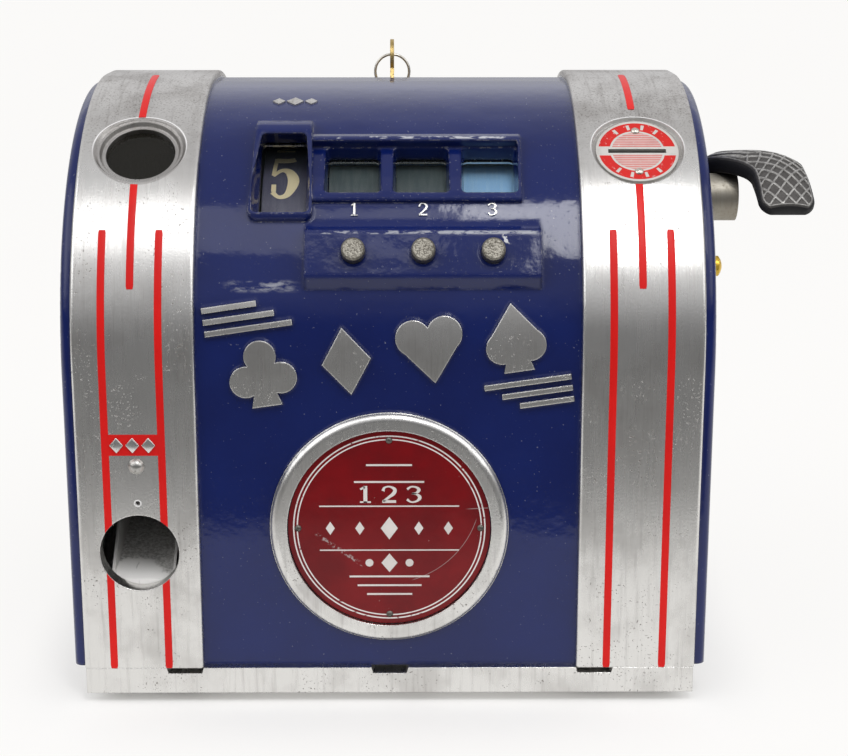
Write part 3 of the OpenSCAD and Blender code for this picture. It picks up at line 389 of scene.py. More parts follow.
class Shape:
    """A mesh under construction, made with mesh operators."""

    def __init__(self) -> None:
        """Starts empty."""
        self.bm = bmesh.new()

    def grid(self, across: int, along: int) -> List[bmesh.types.BMVert]:
        """Adds a flat square from -0.5 to 0.5 with that many segments and returns its corners."""
        made = bmesh.ops.create_grid(self.bm, x_segments=across, y_segments=along, size=0.5)
        return made["verts"]

    def disc(self, radius: float, segments: int, at: Point = (0.0, 0.0)) -> List[bmesh.types.BMVert]:
        """Adds a flat disc.

        Args:
            radius: Its radius.
            segments: Segments round it.
            at: Its middle.

        Returns:
            Its corners.
        """
        place = Matrix.Translation((at[0], at[1], 0.0))
        made = bmesh.ops.create_circle(
            self.bm, cap_ends=True, cap_tris=True, segments=segments, radius=radius, matrix=place
        )
        return made["verts"]

    def outline(self, points: Sequence[Point]) -> List[bmesh.types.BMVert]:
        """Adds one flat face.

        Args:
            points: Its outline.

        Returns:
            Its corners.
        """
        corners = [self.bm.verts.new((x, y, 0.0)) for x, y in points]
        self.bm.faces.new(corners)
        return corners

    def lozenge(self, size: Point, at: Point = (0.0, 0.0)) -> None:
        """Adds a flat lozenge.

        Args:
            size: Half its width and half its height.
            at: Its middle.
        """
        (wide, tall), (x, y) = size, at
        self.outline([(x + wide, y), (x, y + tall), (x - wide, y), (x, y - tall)])

    def thicken(self, depth: float) -> None:
        """Turns the flat faces into closed plates.

        Args:
            depth: How far they reach down.
        """
        faces = list(self.bm.faces)
        made = bmesh.ops.extrude_face_region(self.bm, geom=faces, use_keep_orig=True)
        corners = [item for item in made["geom"] if isinstance(item, bmesh.types.BMVert)]
        bmesh.ops.translate(self.bm, verts=corners, vec=(0.0, 0.0, -depth))

    def mould(self, rule: Callable[[Vector], Vector], corners: Optional[Corners] = None) -> None:
        """Moves each corner by a rule."""
        for corner in corners if corners is not None else self.bm.verts:
            corner.co = rule(corner.co)

    def coil(self, mean_r: float, wire: float, length: float, turns: int, steps: int) -> None:
        """Winds a round wire about the Z axis, from 0 upwards.

        Args:
            mean_r: Radius to the middle of the wire.
            wire: The wire's diameter.
            length: Free length over the wire.
            turns: Number of turns.
            steps: Steps in a turn.
        """
        place = Matrix.Translation((mean_r, 0.0, wire / 2)) @ Matrix.Rotation(math.pi / 2, 4, "X")
        bmesh.ops.create_circle(
            self.bm, cap_ends=True, segments=WIRE_SEGMENTS, radius=wire / 2, matrix=place
        )
        rise = (length - wire) / (turns * steps)
        bmesh.ops.spin(
            self.bm,
            geom=list(self.bm.verts) + list(self.bm.edges) + list(self.bm.faces),
            cent=(0.0, 0.0, 0.0),
            axis=(0.0, 0.0, 1.0),
            dvec=(0.0, 0.0, rise),
            angle=2 * math.pi * turns,
            steps=turns * steps,
            use_duplicate=False,
        )

    def stroke(self, line: Sequence[Tuple[float, float, float]], parts: int = 28) -> None:
        """Adds a flat brush stroke.

        Args:
            line: Points on its middle, each with the stroke's width there.
            parts: Segments along it.
        """

        def place(co: Vector) -> Vector:
            """Moves a corner of the flat square to its place on the stroke.

            Args:
                co: The corner.

            Returns:
                Its place.
            """
            share = min(max(co.y + 0.5, 0.0), 1.0) * (len(line) - 1)
            index = min(int(share), len(line) - 2)
            t = share - index
            knots = [Vector(line[min(max(index + k, 0), len(line) - 1)]) for k in (-1, 0, 1, 2)]
            bend = []
            way = []
            for a, b, c, d in zip(*knots):
                second = 2 * a - 5 * b + 4 * c - d
                third = 3 * b - a - 3 * c + d
                bend.append(0.5 * (2 * b + (c - a) * t + second * t**2 + third * t**3))
                way.append(0.5 * ((c - a) + 2 * second * t + 3 * third * t**2))
            side = Vector((way[1], -way[0], 0.0)).normalized()
            return Vector((bend[0], bend[1], 0.0)) + side * co.x * bend[2]

        self.mould(place, self.grid(2, parts))

    def piece(
        self, name: str, material: bpy.types.Material, body: str, smooth: bool = True
    ) -> bpy.types.Object:
        """Closes the mesh as a piece that rides on a body.

        Args:
            name: The piece's name.
            material: Its finish.
            body: The CAD body that it moves with.
            smooth: Whether the faces are shaded smooth.

        Returns:
            The piece.
        """
        bmesh.ops.remove_doubles(self.bm, verts=list(self.bm.verts), dist=MERGE_DISTANCE)
        bmesh.ops.recalc_face_normals(self.bm, faces=list(self.bm.faces))
        mesh = bpy.data.meshes.new(name)
        self.bm.to_mesh(mesh)
        self.bm.free()
        if smooth:
            mesh.polygons.foreach_set("use_smooth", [True] * len(mesh.polygons))
            mesh.set_sharp_from_angle(angle=SHARP_ANGLE)
        mesh.materials.append(material)
        piece = bpy.data.objects.new(name, mesh)
        bpy.context.scene.collection.objects.link(piece)
        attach(piece, body)
        LOG.info("piece %s on %s, %d faces", name, body, len(mesh.polygons))
        return piece


class Grain(Enum):
    """How a metal's surface was made."""

    CAST = "cast"
    ROLLED = "rolled"
    PLATED = "plated"
    PEBBLED = "pebbled"


@dataclass(frozen=True)
class Finish:
    """A finish that is made once and shared by the pieces that wear it."""

    name: str

    def dress(self, recipe: Recipe) -> bpy.types.Material:
        """Builds the nodes; each finish has its own.

        Args:
            recipe: The material under construction.

        Returns:
            The material.
        """
        raise NotImplementedError

    def material(self) -> bpy.types.Material:
        """The finish's material, made at the first call."""
        name = f"{self.name}_finish"
        return bpy.data.materials.get(name) or self.dress(Recipe(name))


@dataclass(frozen=True)
class Metal(Finish):
    """Bare metal with cloudy tarnish, fine grain and rounded edges."""

    colour: Colour
    tarnish: Colour
    rough: float = 0.3
    grain: Grain = Grain.CAST
    edge: float = 0.4
    metallic: float = 1.0
    dull_z: Point = (194.0, 216.0)

    def layers(self, recipe: Recipe) -> Tuple[Signal, Signal, Signal]:
        """Colour, roughness and height of the bare metal.

        Args:
            recipe: The material under construction.

        Returns:
            The three patterns.
        """
        cloud = recipe.noise(26.0, 4.0, 0.6)
        dull: Link = 0.0
        if self.grain is Grain.CAST:
            _, _, z = recipe.axes()
            dull = z.rise(*self.dull_z)
            fine = recipe.noise(0.9, 2.0, 0.5)
            patch = recipe.noise(15.0, 2.0).rise(0.5, 0.62)
            pits = recipe.noise(0.75, 1.0, 0.4).rise(0.67, 0.71) * patch
            pits = pits.most(recipe.noise(0.8, 2.0, 0.6).rise(0.5, 0.72) * dull * 0.5)
            drag = recipe.noise(1.6, 3.0, 0.6, recipe.stretched((1.0, 0.06, 0.06)))
            height = fine * 0.14 + drag * 0.16 - pits * 0.3
        elif self.grain is Grain.ROLLED:
            fine = recipe.noise(0.7, 2.0, 0.5, recipe.stretched((1.0, 1.0, 0.05)))
            pits = recipe.noise(2.2, 2.0).rise(0.62, 0.72) * 0.4
            drag = fine
            height = fine * 0.3
        elif self.grain is Grain.PEBBLED:
            fine = recipe.noise(0.6, 1.0, 0.5)
            pits = fine.rise(0.53, 0.38)
            drag = recipe.noise(4.0, 2.0)
            height = fine * 0.9
        else:
            fine = recipe.noise(0.6, 2.0, 0.5)
            pits = recipe.noise(0.8, 2.0, 0.5).rise(0.58, 0.7)
            drag = recipe.noise(5.0, 2.0)
            height = fine * 0.2 - pits * 0.5
        deep = 0.34 if self.grain is Grain.PEBBLED else 0.75
        stain = cloud.rise(0.42, 0.7) * 0.32 + pits * deep + drag.rise(0.5, 0.75) * 0.2 + dull * 0.3
        colour = recipe.mix(stain.least(1.0), self.colour, self.tarnish)
        rough = self.rough + (cloud - 0.5) * 0.2 + pits * 0.25 + (drag - 0.5) * 0.16 + dull * 0.14
        return colour, rough, height

    def dress(self, recipe: Recipe) -> bpy.types.Material:
        """Builds the metal.

        Args:
            recipe: The material under construction.

        Returns:
            The material.
        """
        colour, rough, height = self.layers(recipe)
        normal = recipe.bump(height, 0.12, recipe.bevel(self.edge))
        return recipe.finish(Base_Color=colour, Roughness=rough, Metallic=self.metallic, Normal=normal)


@dataclass(frozen=True)
class Enamel(Finish):
    """Glossy paint over a casting or sheet, with its orange peel and rounded edges."""

    colour: Colour
    shade: Colour
    rough: float = 0.2
    edge: float = 0.5
    coat: float = 0.4
    aged: float = 0.0
    gloss: float = 0.5
    haze: Colour = (0.3, 0.31, 0.36)
    haze_z: Point = (216.0, 235.0)

    def layers(self, recipe: Recipe) -> Tuple[Signal, Signal, Signal]:
        """Colour, roughness and height of the paint.

        Args:
            recipe: The material under construction.

        Returns:
            The three patterns.
        """
        cloud = recipe.noise(34.0, 4.0, 0.55)
        peel = recipe.noise(4.2, 2.0, 0.45)
        wave = recipe.noise(15.0, 1.0, 0.4)
        dust = recipe.noise(0.9, 2.0, 0.5).rise(0.66, 0.74)
        colour = recipe.mix(cloud.rise(0.3, 0.7), self.colour, self.shade)
        rough = self.rough + (cloud - 0.5) * 0.12 + dust * 0.14
        if self.aged > 0.0:
            _, _, z = recipe.axes()
            haze = z.rise(*self.haze_z) * (cloud * 0.25 + 0.15) * self.aged
            specks = recipe.noise(0.85, 1.0, 0.4).rise(0.745, 0.79) * 0.45 * self.aged
            colour = recipe.mix(haze.most(specks), colour, self.haze)
            rough = rough + haze * 0.3
        height = wave * 0.75 + peel * 0.22 + dust * 0.05
        return colour, rough, height

    def dress(self, recipe: Recipe) -> bpy.types.Material:
        """Builds the paint.

        Args:
            recipe: The material under construction.

        Returns:
            The material.
        """
        colour, rough, height = self.layers(recipe)
        normal = recipe.bump(height, 0.3, recipe.bevel(self.edge))
        return recipe.finish(
            Base_Color=colour,
            Roughness=rough,
            Coat_Weight=self.coat,
            Specular_IOR_Level=self.gloss,
            Normal=normal,
        )


@dataclass(frozen=True)
class CabinetCast(Finish):
    """The cabinet's one casting: enamel on the body, bare metal on the bands, ring and ornament."""

    paint: Enamel
    metal: Metal
    outline: Outline = OUTLINE
    # colour of the painted highlight on the recess rims, also used for the ring round the small hole
    bright: Colour = (0.9, 0.89, 0.88)
    # colour of the pale scrape and chips, and of the painted highlights along the visor and block noses
    scuff_and_highlight: Colour = (0.56, 0.57, 0.60)
    crisp_edge: float = 0.6
    soft_edge: float = 2.0
    ring_r: Point = (37.9, 44.9)
    front_y: Point = (-60.0, -80.0)
    motif_side: Point = (68.5, 68.0)
    motif_top: Point = (157.8, 157.3)
    shell: Point = (-3.4, -3.7)
    hood_side: Point = (56.0, 57.0)
    hood_back: Point = (-31.0, -30.0)
    wall: Point = (119.2, 118.6)
    upper_z: Point = (160.0, 168.0)
    upper_side: Point = (66.0, 60.0)
    upper_y: Point = (-20.0, -30.0)
    eyelet_r: Point = (0.8, 1.45)
    eyelet_y: Point = (-80.0, -90.0)
    scuff_x: Point = (-58.0, -35.0)
    scuff_z: Point = (157.8, 161.2)
    chip_x: Point = (41.6, 44.6)
    chip_z: Point = (175.0, 178.6)
    visor_along: Point = (12.6, 14.0)
    visor_rise: float = 3.0
    visor_x: Point = (-25.0, 43.5)
    shelf_along: Point = (6.9, 8.3)
    shelf_rise: float = 4.3
    shelf_x: Point = (-27.0, 54.0)

    def bare(self, recipe: Recipe) -> Signal:
        """Where the casting is bare.

        Args:
            recipe: The material under construction.

        Returns:
            1 on bare metal, 0 under paint.
        """
        o = self.outline
        x, y, z = recipe.axes()
        side = abs(x)
        rag = (recipe.noise(3.0, 3.0, 0.6) - 0.5) * 0.7
        ahead = (o.arc_y - y).most(0.0)
        above = (z - o.arc_z).most(0.0)
        behind = (y - o.back_y).most(0.0)
        over = (z - o.back_z).most(0.0)
        front = (ahead * ahead + above * above).root() - o.front_r
        back = (behind * behind + over * over).root() - o.back_r
        height = front.most(back) + rag
        proud = height.rise(0.55, 0.85)
        band = side.within(o.band_in - 0.4, o.band_out + 0.4, 0.1) * proud
        band = band.most(side.within(o.band_in + 1.0, o.band_out - 1.0, 0.1))
        up = z - o.ring_z
        radius = (x * x + up * up).root()
        front_only = y.rise(*self.front_y)
        ring = radius.within(*self.ring_r, 0.1) * height.rise(0.4, 0.8) * front_only
        motif = side.rise(*self.motif_side) * height.rise(1.0, 1.3)
        motif = motif * z.rise(*self.motif_top) * front_only
        inside = height.rise(*self.shell) * side.rise(*self.hood_side).most(y.rise(*self.hood_back))
        inside = inside * side.rise(*self.wall)
        return band.most(ring).most(motif).most(inside)

    def rubbed(self, recipe: Recipe, crisp: Signal) -> Signal:
        """Edges of the window hood and the button block that are rubbed to the metal.

        Args:
            recipe: The material under construction.
            crisp: The normal with slightly rounded edges.

        Returns:
            1 where the metal shows.
        """
        x, y, z = recipe.axes()
        facing = recipe.node("ShaderNodeNewGeometry", output="Normal")
        pair = {0: crisp, 1: facing}
        match = recipe.node("ShaderNodeVectorMath", {"operation": "DOT_PRODUCT"}, pair, "Value")
        lumps = recipe.noise(2.6, 3.0, 0.6).rise(0.52, 0.64)
        upper = z.rise(*self.upper_z) * abs(x).rise(*self.upper_side) * y.rise(*self.upper_y)
        return (1 - match).rise(0.03, 0.12) * lumps * (upper * 0.35 + 0.1)

    def sunk(self, recipe: Recipe) -> Tuple[Signal, Signal]:
        """The two round recesses, darkened with tarnish and painted shade, and the painted highlight on
        their upper rims with the pale ring round the small hole.

        Args:
            recipe: The material under construction.

        Returns:
            1 on the recesses' walls and floors, and 1 on the rim highlights and the ring round the small
            hole.
        """
        o = self.outline
        x, t, r = recipe.axes(recipe.turned((0.0, o.arc_y, o.arc_z), math.pi / 2 - o.round_a))
        front = r.rise(0.0, 10.0)
        side = abs(x) - o.round_x
        radius = (side * side + t * t).root()
        # painted highlight: the upper part of each recess rim is made pale and less metallic in place of the
        # lamp's reflection
        rim = radius.within(o.recess_r - 0.1, o.recess_r + 0.4, 0.12) * t.rise(-10.0, 6.0) * front
        from_hole = x + o.round_x
        _, y, z = recipe.axes()
        over = z - o.hole_z
        eyelet = (from_hole * from_hole + over * over).root().within(*self.eyelet_r, 0.15)
        eyelet = eyelet * y.rise(*self.eyelet_y)
        return radius.rise(o.recess_r + 0.3, o.recess_r + 0.05) * front, rim.most(eyelet)

    def nose(self, recipe: Recipe, angle: float, along: Point, rise: float) -> Signal:
        """A painted highlight: a lumpy bright line along a nose of the front.

        Args:
            recipe: The material under construction.
            angle: Where the nose's own block sits on the rounding.
            along: Where the line starts and ends, up from that angle.
            rise: How far the nose stands out of the painted surface.

        Returns:
            1 on the line's lumps, more of them to the right.
        """
        o = self.outline
        x, t, r = recipe.axes(recipe.turned((0.0, o.arc_y, o.arc_z), math.pi / 2 - angle))
        lumps = recipe.noise(2.2, 3.0, 0.6, recipe.stretched((0.45, 1.0, 1.0)))
        more = x.rise(-34.0, 44.0) * 0.2
        out = o.front_r + rise
        line = t.within(*along, 0.35) * r.rise(out - 0.7, out - 0.3)
        return line * (lumps + more).rise(0.55, 0.68)

    def scuffs_and_highlights(self, recipe: Recipe) -> Signal:
        """Pale scrape left of the button block, chips beside the right button, and painted highlights along
        the nose edges of the visor and the block.

        Args:
            recipe: The material under construction.

        Returns:
            1 where the paint is pale.
        """
        o = self.outline
        x, y, z = recipe.axes()
        scrape = recipe.noise(3.0, 4.0, 0.7, recipe.stretched((0.35, 1.0, 1.0)))
        left = x.within(*self.scuff_x, 4.0) * z.within(*self.scuff_z, 1.0)
        left = left * scrape.rise(0.44, 0.66) * 0.5
        chip = x.within(*self.chip_x, 0.6) * z.within(*self.chip_z, 0.6)
        chip = chip * recipe.noise(1.7, 2.0).rise(0.52, 0.56)
        # painted highlights: lumpy pale lines along the visor and block noses stand in for the lamp's
        # glints, stronger to the right
        visor = self.nose(recipe, o.window_a, self.visor_along, self.visor_rise)
        visor = visor * x.within(*self.visor_x, 1.0)
        shelf = self.nose(recipe, o.button_a, self.shelf_along, self.shelf_rise)
        shelf = shelf * x.within(*self.shelf_x, 1.0)
        nose_highlights = (visor * 0.8).most(shelf * 0.55)
        return left.most(chip).most(nose_highlights) * y.rise(*self.upper_y)

    def dress(self, recipe: Recipe) -> bpy.types.Material:
        """Builds the casting's finish.

        Args:
            recipe: The material under construction.

        Returns:
            The material.
        """
        crisp = recipe.bevel(self.crisp_edge)
        polished = self.bare(recipe)
        values = {0: polished, 4: recipe.bevel(self.soft_edge), 5: crisp}
        soft = recipe.node("ShaderNodeMix", {"data_type": "VECTOR"}, values, 1)
        smooth = recipe.node("ShaderNodeVectorMath", {"operation": "NORMALIZE"}, {0: soft})
        bare = polished.most(self.rubbed(recipe, crisp))
        paint, paint_rough, paint_height = self.paint.layers(recipe)
        metal, metal_rough, metal_height = self.metal.layers(recipe)
        sunk, rim_highlight_and_eyelet = self.sunk(recipe)
        # tarnish in the recesses, deepened as painted shade
        metal = recipe.mix(sunk * 0.46, metal, self.metal.tarnish)
        # painted highlight on the recess rims, together with the pale ring round the small hole
        metal = recipe.mix(rim_highlight_and_eyelet, metal, self.bright)
        # pale mixes the real scrape and chips with the painted nose highlights
        pale = self.scuffs_and_highlights(recipe)
        paint = recipe.mix(pale, paint, self.scuff_and_highlight)
        paint_rough = paint_rough + pale * 0.3
        relief = paint_height * 0.3 * (1 - bare) + metal_height * 0.14 * bare
        normal = recipe.bump(relief, 1.0, smooth)
        return recipe.finish(
            Base_Color=recipe.mix(bare, paint, metal),
            Roughness=paint_rough * (1 - bare) + metal_rough * bare,
            Metallic=bare * (1 - rim_highlight_and_eyelet * 0.6),
            Coat_Weight=(1 - bare) * self.paint.coat,
            Specular_IOR_Level=self.paint.gloss,
            Normal=normal,
        )


@dataclass(frozen=True)
class DiscEnamel(Finish):
    """Red enamel disc with two thin white rings, small chips, a dragged scrape and a long scratch."""

    red: Colour = (0.185, 0.0030, 0.0055)
    dark: Colour = (0.125, 0.0028, 0.0050)
    white: Colour = (0.78, 0.74, 0.72)
    chip: Colour = (0.42, 0.36, 0.35)
    outline: Outline = OUTLINE
    outer_ring: Point = (35.35, 35.85)
    inner_ring: Point = (34.05, 34.5)
    drag_at: Point = (-18.6, -8.4)
    drag_lean: float = math.radians(-35.0)
    drag_half: float = 10.5
    arc_at: Point = (-2.0, 14.0)
    arc_r: float = 36.0
    level_up: float = 6.0

    def scrape(self, recipe: Recipe, x: Signal, up: Signal) -> Signal:
        """Marks scraped into the enamel.

        Args:
            recipe: The material under construction.
            x: Distance to the right of the middle.
            up: Distance above the middle.

        Returns:
            1 where the enamel is scraped off.
        """
        right = x - self.drag_at[0]
        above = up - self.drag_at[1]
        run = right * math.cos(self.drag_lean) + above * math.sin(self.drag_lean)
        away = above * math.cos(self.drag_lean) - right * math.sin(self.drag_lean)
        beads = recipe.noise(1.1, 3.0, 0.7).rise(0.5, 0.6)
        drag = abs(away).rise(1.0, 0.3) * run.within(-self.drag_half, self.drag_half, 0.8) * beads * 0.8
        far_x = x - self.arc_at[0]
        far_up = up - self.arc_at[1]
        arc = abs((far_x * far_x + far_up * far_up).root() - self.arc_r).rise(0.16, 0.06)
        arc = arc * x.rise(8.0, 10.0) * up.rise(4.0, 2.0) * 0.55
        level = abs(up - self.level_up - x * 0.05).rise(0.22, 0.1) * x.rise(28.0, 31.0) * 0.5
        return drag.most(arc).most(level)

    def dress(self, recipe: Recipe) -> bpy.types.Material:
        """Builds the disc's print and wear.

        Args:
            recipe: The material under construction.

        Returns:
            The material.
        """
        x, _, z = recipe.axes()
        up = z - self.outline.ring_z
        radius = (x * x + up * up).root()
        rings = radius.within(*self.outer_ring, 0.08).most(radius.within(*self.inner_ring, 0.08))
        worn = recipe.noise(2.4, 3.0, 0.6)
        rings = rings * worn.rise(0.3, 0.42)
        cloud = recipe.noise(20.0, 4.0, 0.6)
        chips = recipe.noise(1.2, 3.0, 0.65).rise(0.7, 0.74) * recipe.noise(13.0, 1.0).rise(0.5, 0.6)
        marks = (chips * 0.6).most(self.scrape(recipe, x, up))
        colour = recipe.mix(cloud.rise(0.3, 0.72), self.red, self.dark)
        colour = recipe.mix(rings, colour, self.white)
        colour = recipe.mix(marks, colour, self.chip)
        rough = 0.2 + (cloud - 0.5) * 0.16 + marks * 0.3
        normal = recipe.bump(recipe.noise(11.0, 3.0), 0.12, recipe.bevel(0.3))
        return recipe.finish(Base_Color=colour, Roughness=rough, Specular_IOR_Level=0.28, Normal=normal)


@dataclass(frozen=True)
class CoinPlateEtch(Finish):
    """Etched coin plate: pale rims, red ring with pale ticks, fine red lines in the two half rounds."""

    red: Colour = (0.66, 0.014, 0.010)
    worn_red: Colour = (0.5, 0.012, 0.01)
    bright: Colour = (0.68, 0.66, 0.62)
    tarnish: Colour = (0.42, 0.41, 0.39)
    outline: Outline = OUTLINE
    ticks: float = math.radians(25.0)
    tick_r: Point = (11.1, 13.6)
    tick_end: float = 0.7
    ring_r: Point = (10.3, 14.5)
    half_r: Point = (9.6, 9.4)
    line_step: float = 1.15

    def dress(self, recipe: Recipe) -> bpy.types.Material:
        """Builds the plate's etched print.

        Args:
            recipe: The material under construction.

        Returns:
            The material.
        """
        o = self.outline
        turn = math.pi / 2 - o.round_a
        where = recipe.turned((o.round_x, o.arc_y, o.arc_z), turn)
        x, t, _ = recipe.axes(where)
        radius = (x * x + t * t).root()
        across = abs(t)
        angle = across.bearing(x)
        step = abs((angle / self.ticks + 0.4).turn() - 0.5).rise(0.12, 0.09)
        tick = step * radius.within(*self.tick_r, 0.1)
        tick = tick * angle.within(self.tick_end, math.pi - self.tick_end, 0.02)
        ring = radius.within(*self.ring_r, 0.1) * across.rise(2.2, 2.4) * (1 - tick)
        half = radius.rise(*self.half_r) * across.rise(1.9, 2.1)
        hatch = abs((t / self.line_step).turn() - 0.5).rise(0.16, 0.34) * half
        fill = half * 0.3
        worn = recipe.noise(1.5, 3.0, 0.6)
        red = ring.most(hatch * 0.72).most(fill) * worn.rise(0.22, 0.4)
        cloud = recipe.noise(7.0, 3.0, 0.6)
        metal = recipe.mix(cloud.rise(0.45, 0.7) * 0.4, self.bright, self.tarnish)
        colour = recipe.mix(red, metal, recipe.mix(cloud, self.red, self.worn_red))
        normal = recipe.bump((1 - red) + worn * 0.2, 0.08, recipe.bevel(0.25))
        return recipe.finish(
            Base_Color=colour,
            Roughness=0.34 + (cloud - 0.5) * 0.2 + red * 0.14,
            Metallic=(1 - red) * 0.4,
            Specular_IOR_Level=0.3,
            Normal=normal,
        )


@dataclass(frozen=True)
class TroughSheet(Finish):
    """Tinned sheet of the gum trough: dark inside, a painted pool of light at the front of its floor, its
    side edges bright.
    """

    sheet: Colour = (0.80, 0.79, 0.77)
    stain: Colour = (0.42, 0.41, 0.39)
    # colour of the painted pool of light on the trough floor; pale_x, pale_z, sag and ragged shape its edge
    pale: Colour = (0.88, 0.87, 0.85)
    crack: Colour = (0.3, 0.3, 0.29)
    edge: Colour = (0.66, 0.65, 0.63)
    middle: float = -93.0
    half: float = 12.0
    gauge: float = 1.0
    pale_x: float = -97.0
    pale_z: float = 50.5
    sag: float = 0.016
    ragged: float = 1.8

    def dress(self, recipe: Recipe) -> bpy.types.Material:
        """Builds the trough's wear and its painted pool of light.

        Args:
            recipe: The material under construction.

        Returns:
            The material.
        """
        x, _, z = recipe.axes()
        ragged = recipe.noise(3.4, 4.0, 0.7)
        away = x - self.pale_x
        level = z + away * away * self.sag + (ragged - 0.5) * self.ragged
        # painted light: a pale patch with a curved upper edge stands in for lamp light falling through the
        # outlet onto the floor
        light_patch = level.rise(self.pale_z + 0.3, self.pale_z - 0.2)
        wall = abs(x - self.middle).rise(self.half - self.gauge - 0.1, self.half - self.gauge)
        mottle = recipe.noise(1.3, 4.0, 0.7)
        cracks = recipe.noise(1.6, 2.0, 0.5, recipe.stretched((1.0, 0.12, 0.12))).rise(0.64, 0.72)
        sheet = recipe.mix(mottle.rise(0.35, 0.65), self.sheet, self.stain)
        pale = recipe.mix(cracks * 0.5, self.pale, self.crack)
        colour = recipe.mix(light_patch, recipe.mix(wall, sheet, self.edge), pale)
        return recipe.finish(
            Base_Color=colour,
            Roughness=0.3 + mottle * 0.2 + light_patch * 0.2,
            Metallic=wall * (1 - light_patch) * 0.4,
            Normal=recipe.bump(mottle * 0.6 + light_patch * 0.4, 0.2, recipe.bevel(0.15)),
        )


@dataclass(frozen=True)
class KnurledIron(Finish):
    """Dark cast lever: knurls and neck worn bright, sides and underside painted near-black as shade."""

    dark: Colour = (0.075, 0.070, 0.067)
    rubbed: Colour = (0.13, 0.125, 0.12)
    worn: Colour = (0.50, 0.49, 0.47)
    # near-black painted shade on the lever's sides and underside
    side: Colour = (0.010, 0.010, 0.011)

    def dress(self, recipe: Recipe) -> bpy.types.Material:
        """Builds the lever's wear and the painted shade on its sides from its own height attribute.

        Args:
            recipe: The material under construction.

        Returns:
            The material.
        """
        height = recipe.node("ShaderNodeAttribute", {"attribute_name": "knurl"}, output="Fac")
        cloud = recipe.noise(9.0, 4.0, 0.6)
        fine = recipe.noise(0.9, 3.0, 0.6)
        broken = recipe.noise(2.0, 3.0, 0.6)
        shine = height.rise(0.35, 0.9) * (0.1 + cloud * 0.45 + broken.rise(0.3, 0.7) * 0.5)
        colour = recipe.mix(shine, recipe.mix(fine, self.dark, self.rubbed), self.worn)
        # painted shade: where the knurl height is below 0, on the sides and underside, the lever is made
        # near-black
        shaded_flank = height.rise(-0.02, -0.3)
        colour = recipe.mix(shaded_flank, colour, self.side)
        rough = 0.48 - shine * 0.14 + (fine - 0.5) * 0.2 + shaded_flank * 0.1
        return recipe.finish(
            Base_Color=colour,
            Roughness=rough,
            Metallic=(1 - shaded_flank) * 0.7,
            Specular_IOR_Level=0.3,
            Normal=recipe.bump(fine, 0.1),
        )


@dataclass(frozen=True)
class DrumPaint(Finish):
    """Satin paint on a reel or shutter, faded and rubbed along its turning."""

    colour: Colour
    faded: Colour
    rough: float = 0.45

    def dress(self, recipe: Recipe) -> bpy.types.Material:
        """Builds the reel's paint.

        Args:
            recipe: The material under construction.

        Returns:
            The material.
        """
        rub = recipe.noise(1.4, 3.0, 0.6, recipe.stretched((1.0, 0.08, 0.08)))
        cloud = recipe.noise(12.0, 3.0, 0.6)
        colour = recipe.mix((rub * 0.6 + cloud * 0.4).rise(0.4, 0.68), self.colour, self.faded)
        rough = self.rough + (rub - 0.5) * 0.2
        normal = recipe.bump(rub, 0.04, recipe.bevel(0.25))
        return recipe.finish(Base_Color=colour, Roughness=rough, Normal=normal)


@dataclass(frozen=True)
class Pane(Finish):
    """Old clear glass with a faint film."""

    tint: Colour = (0.05, 0.06, 0.06)
    share: float = 0.06
    gloss: float = 1.0

    def dress(self, recipe: Recipe) -> bpy.types.Material:
        """Builds the glass.

        Args:
            recipe: The material under construction.

        Returns:
            The material.
        """
        film = recipe.noise(7.0, 4.0, 0.6)
        return recipe.finish(
            Base_Color=self.tint,
            Roughness=0.05 + film * 0.08,
            Alpha=self.share + (film - 0.5) * 0.06,
            Specular_IOR_Level=self.gloss,
        )


@dataclass(frozen=True)
class Rubber(Finish):
    """Dull black rubber with a bloom."""

    black: Colour = (0.012, 0.012, 0.012)
    grey: Colour = (0.05, 0.05, 0.048)

    def dress(self, recipe: Recipe) -> bpy.types.Material:
        """Builds the rubber.

        Args:
            recipe: The material under construction.

        Returns:
            The material.
        """
        bloom = recipe.noise(3.5, 4.0, 0.6)
        colour = recipe.mix(bloom.rise(0.4, 0.75), self.black, self.grey)
        normal = recipe.bump(bloom, 0.1, recipe.bevel(0.5))
        return recipe.finish(Base_Color=colour, Roughness=0.7 + bloom * 0.2, Normal=normal)


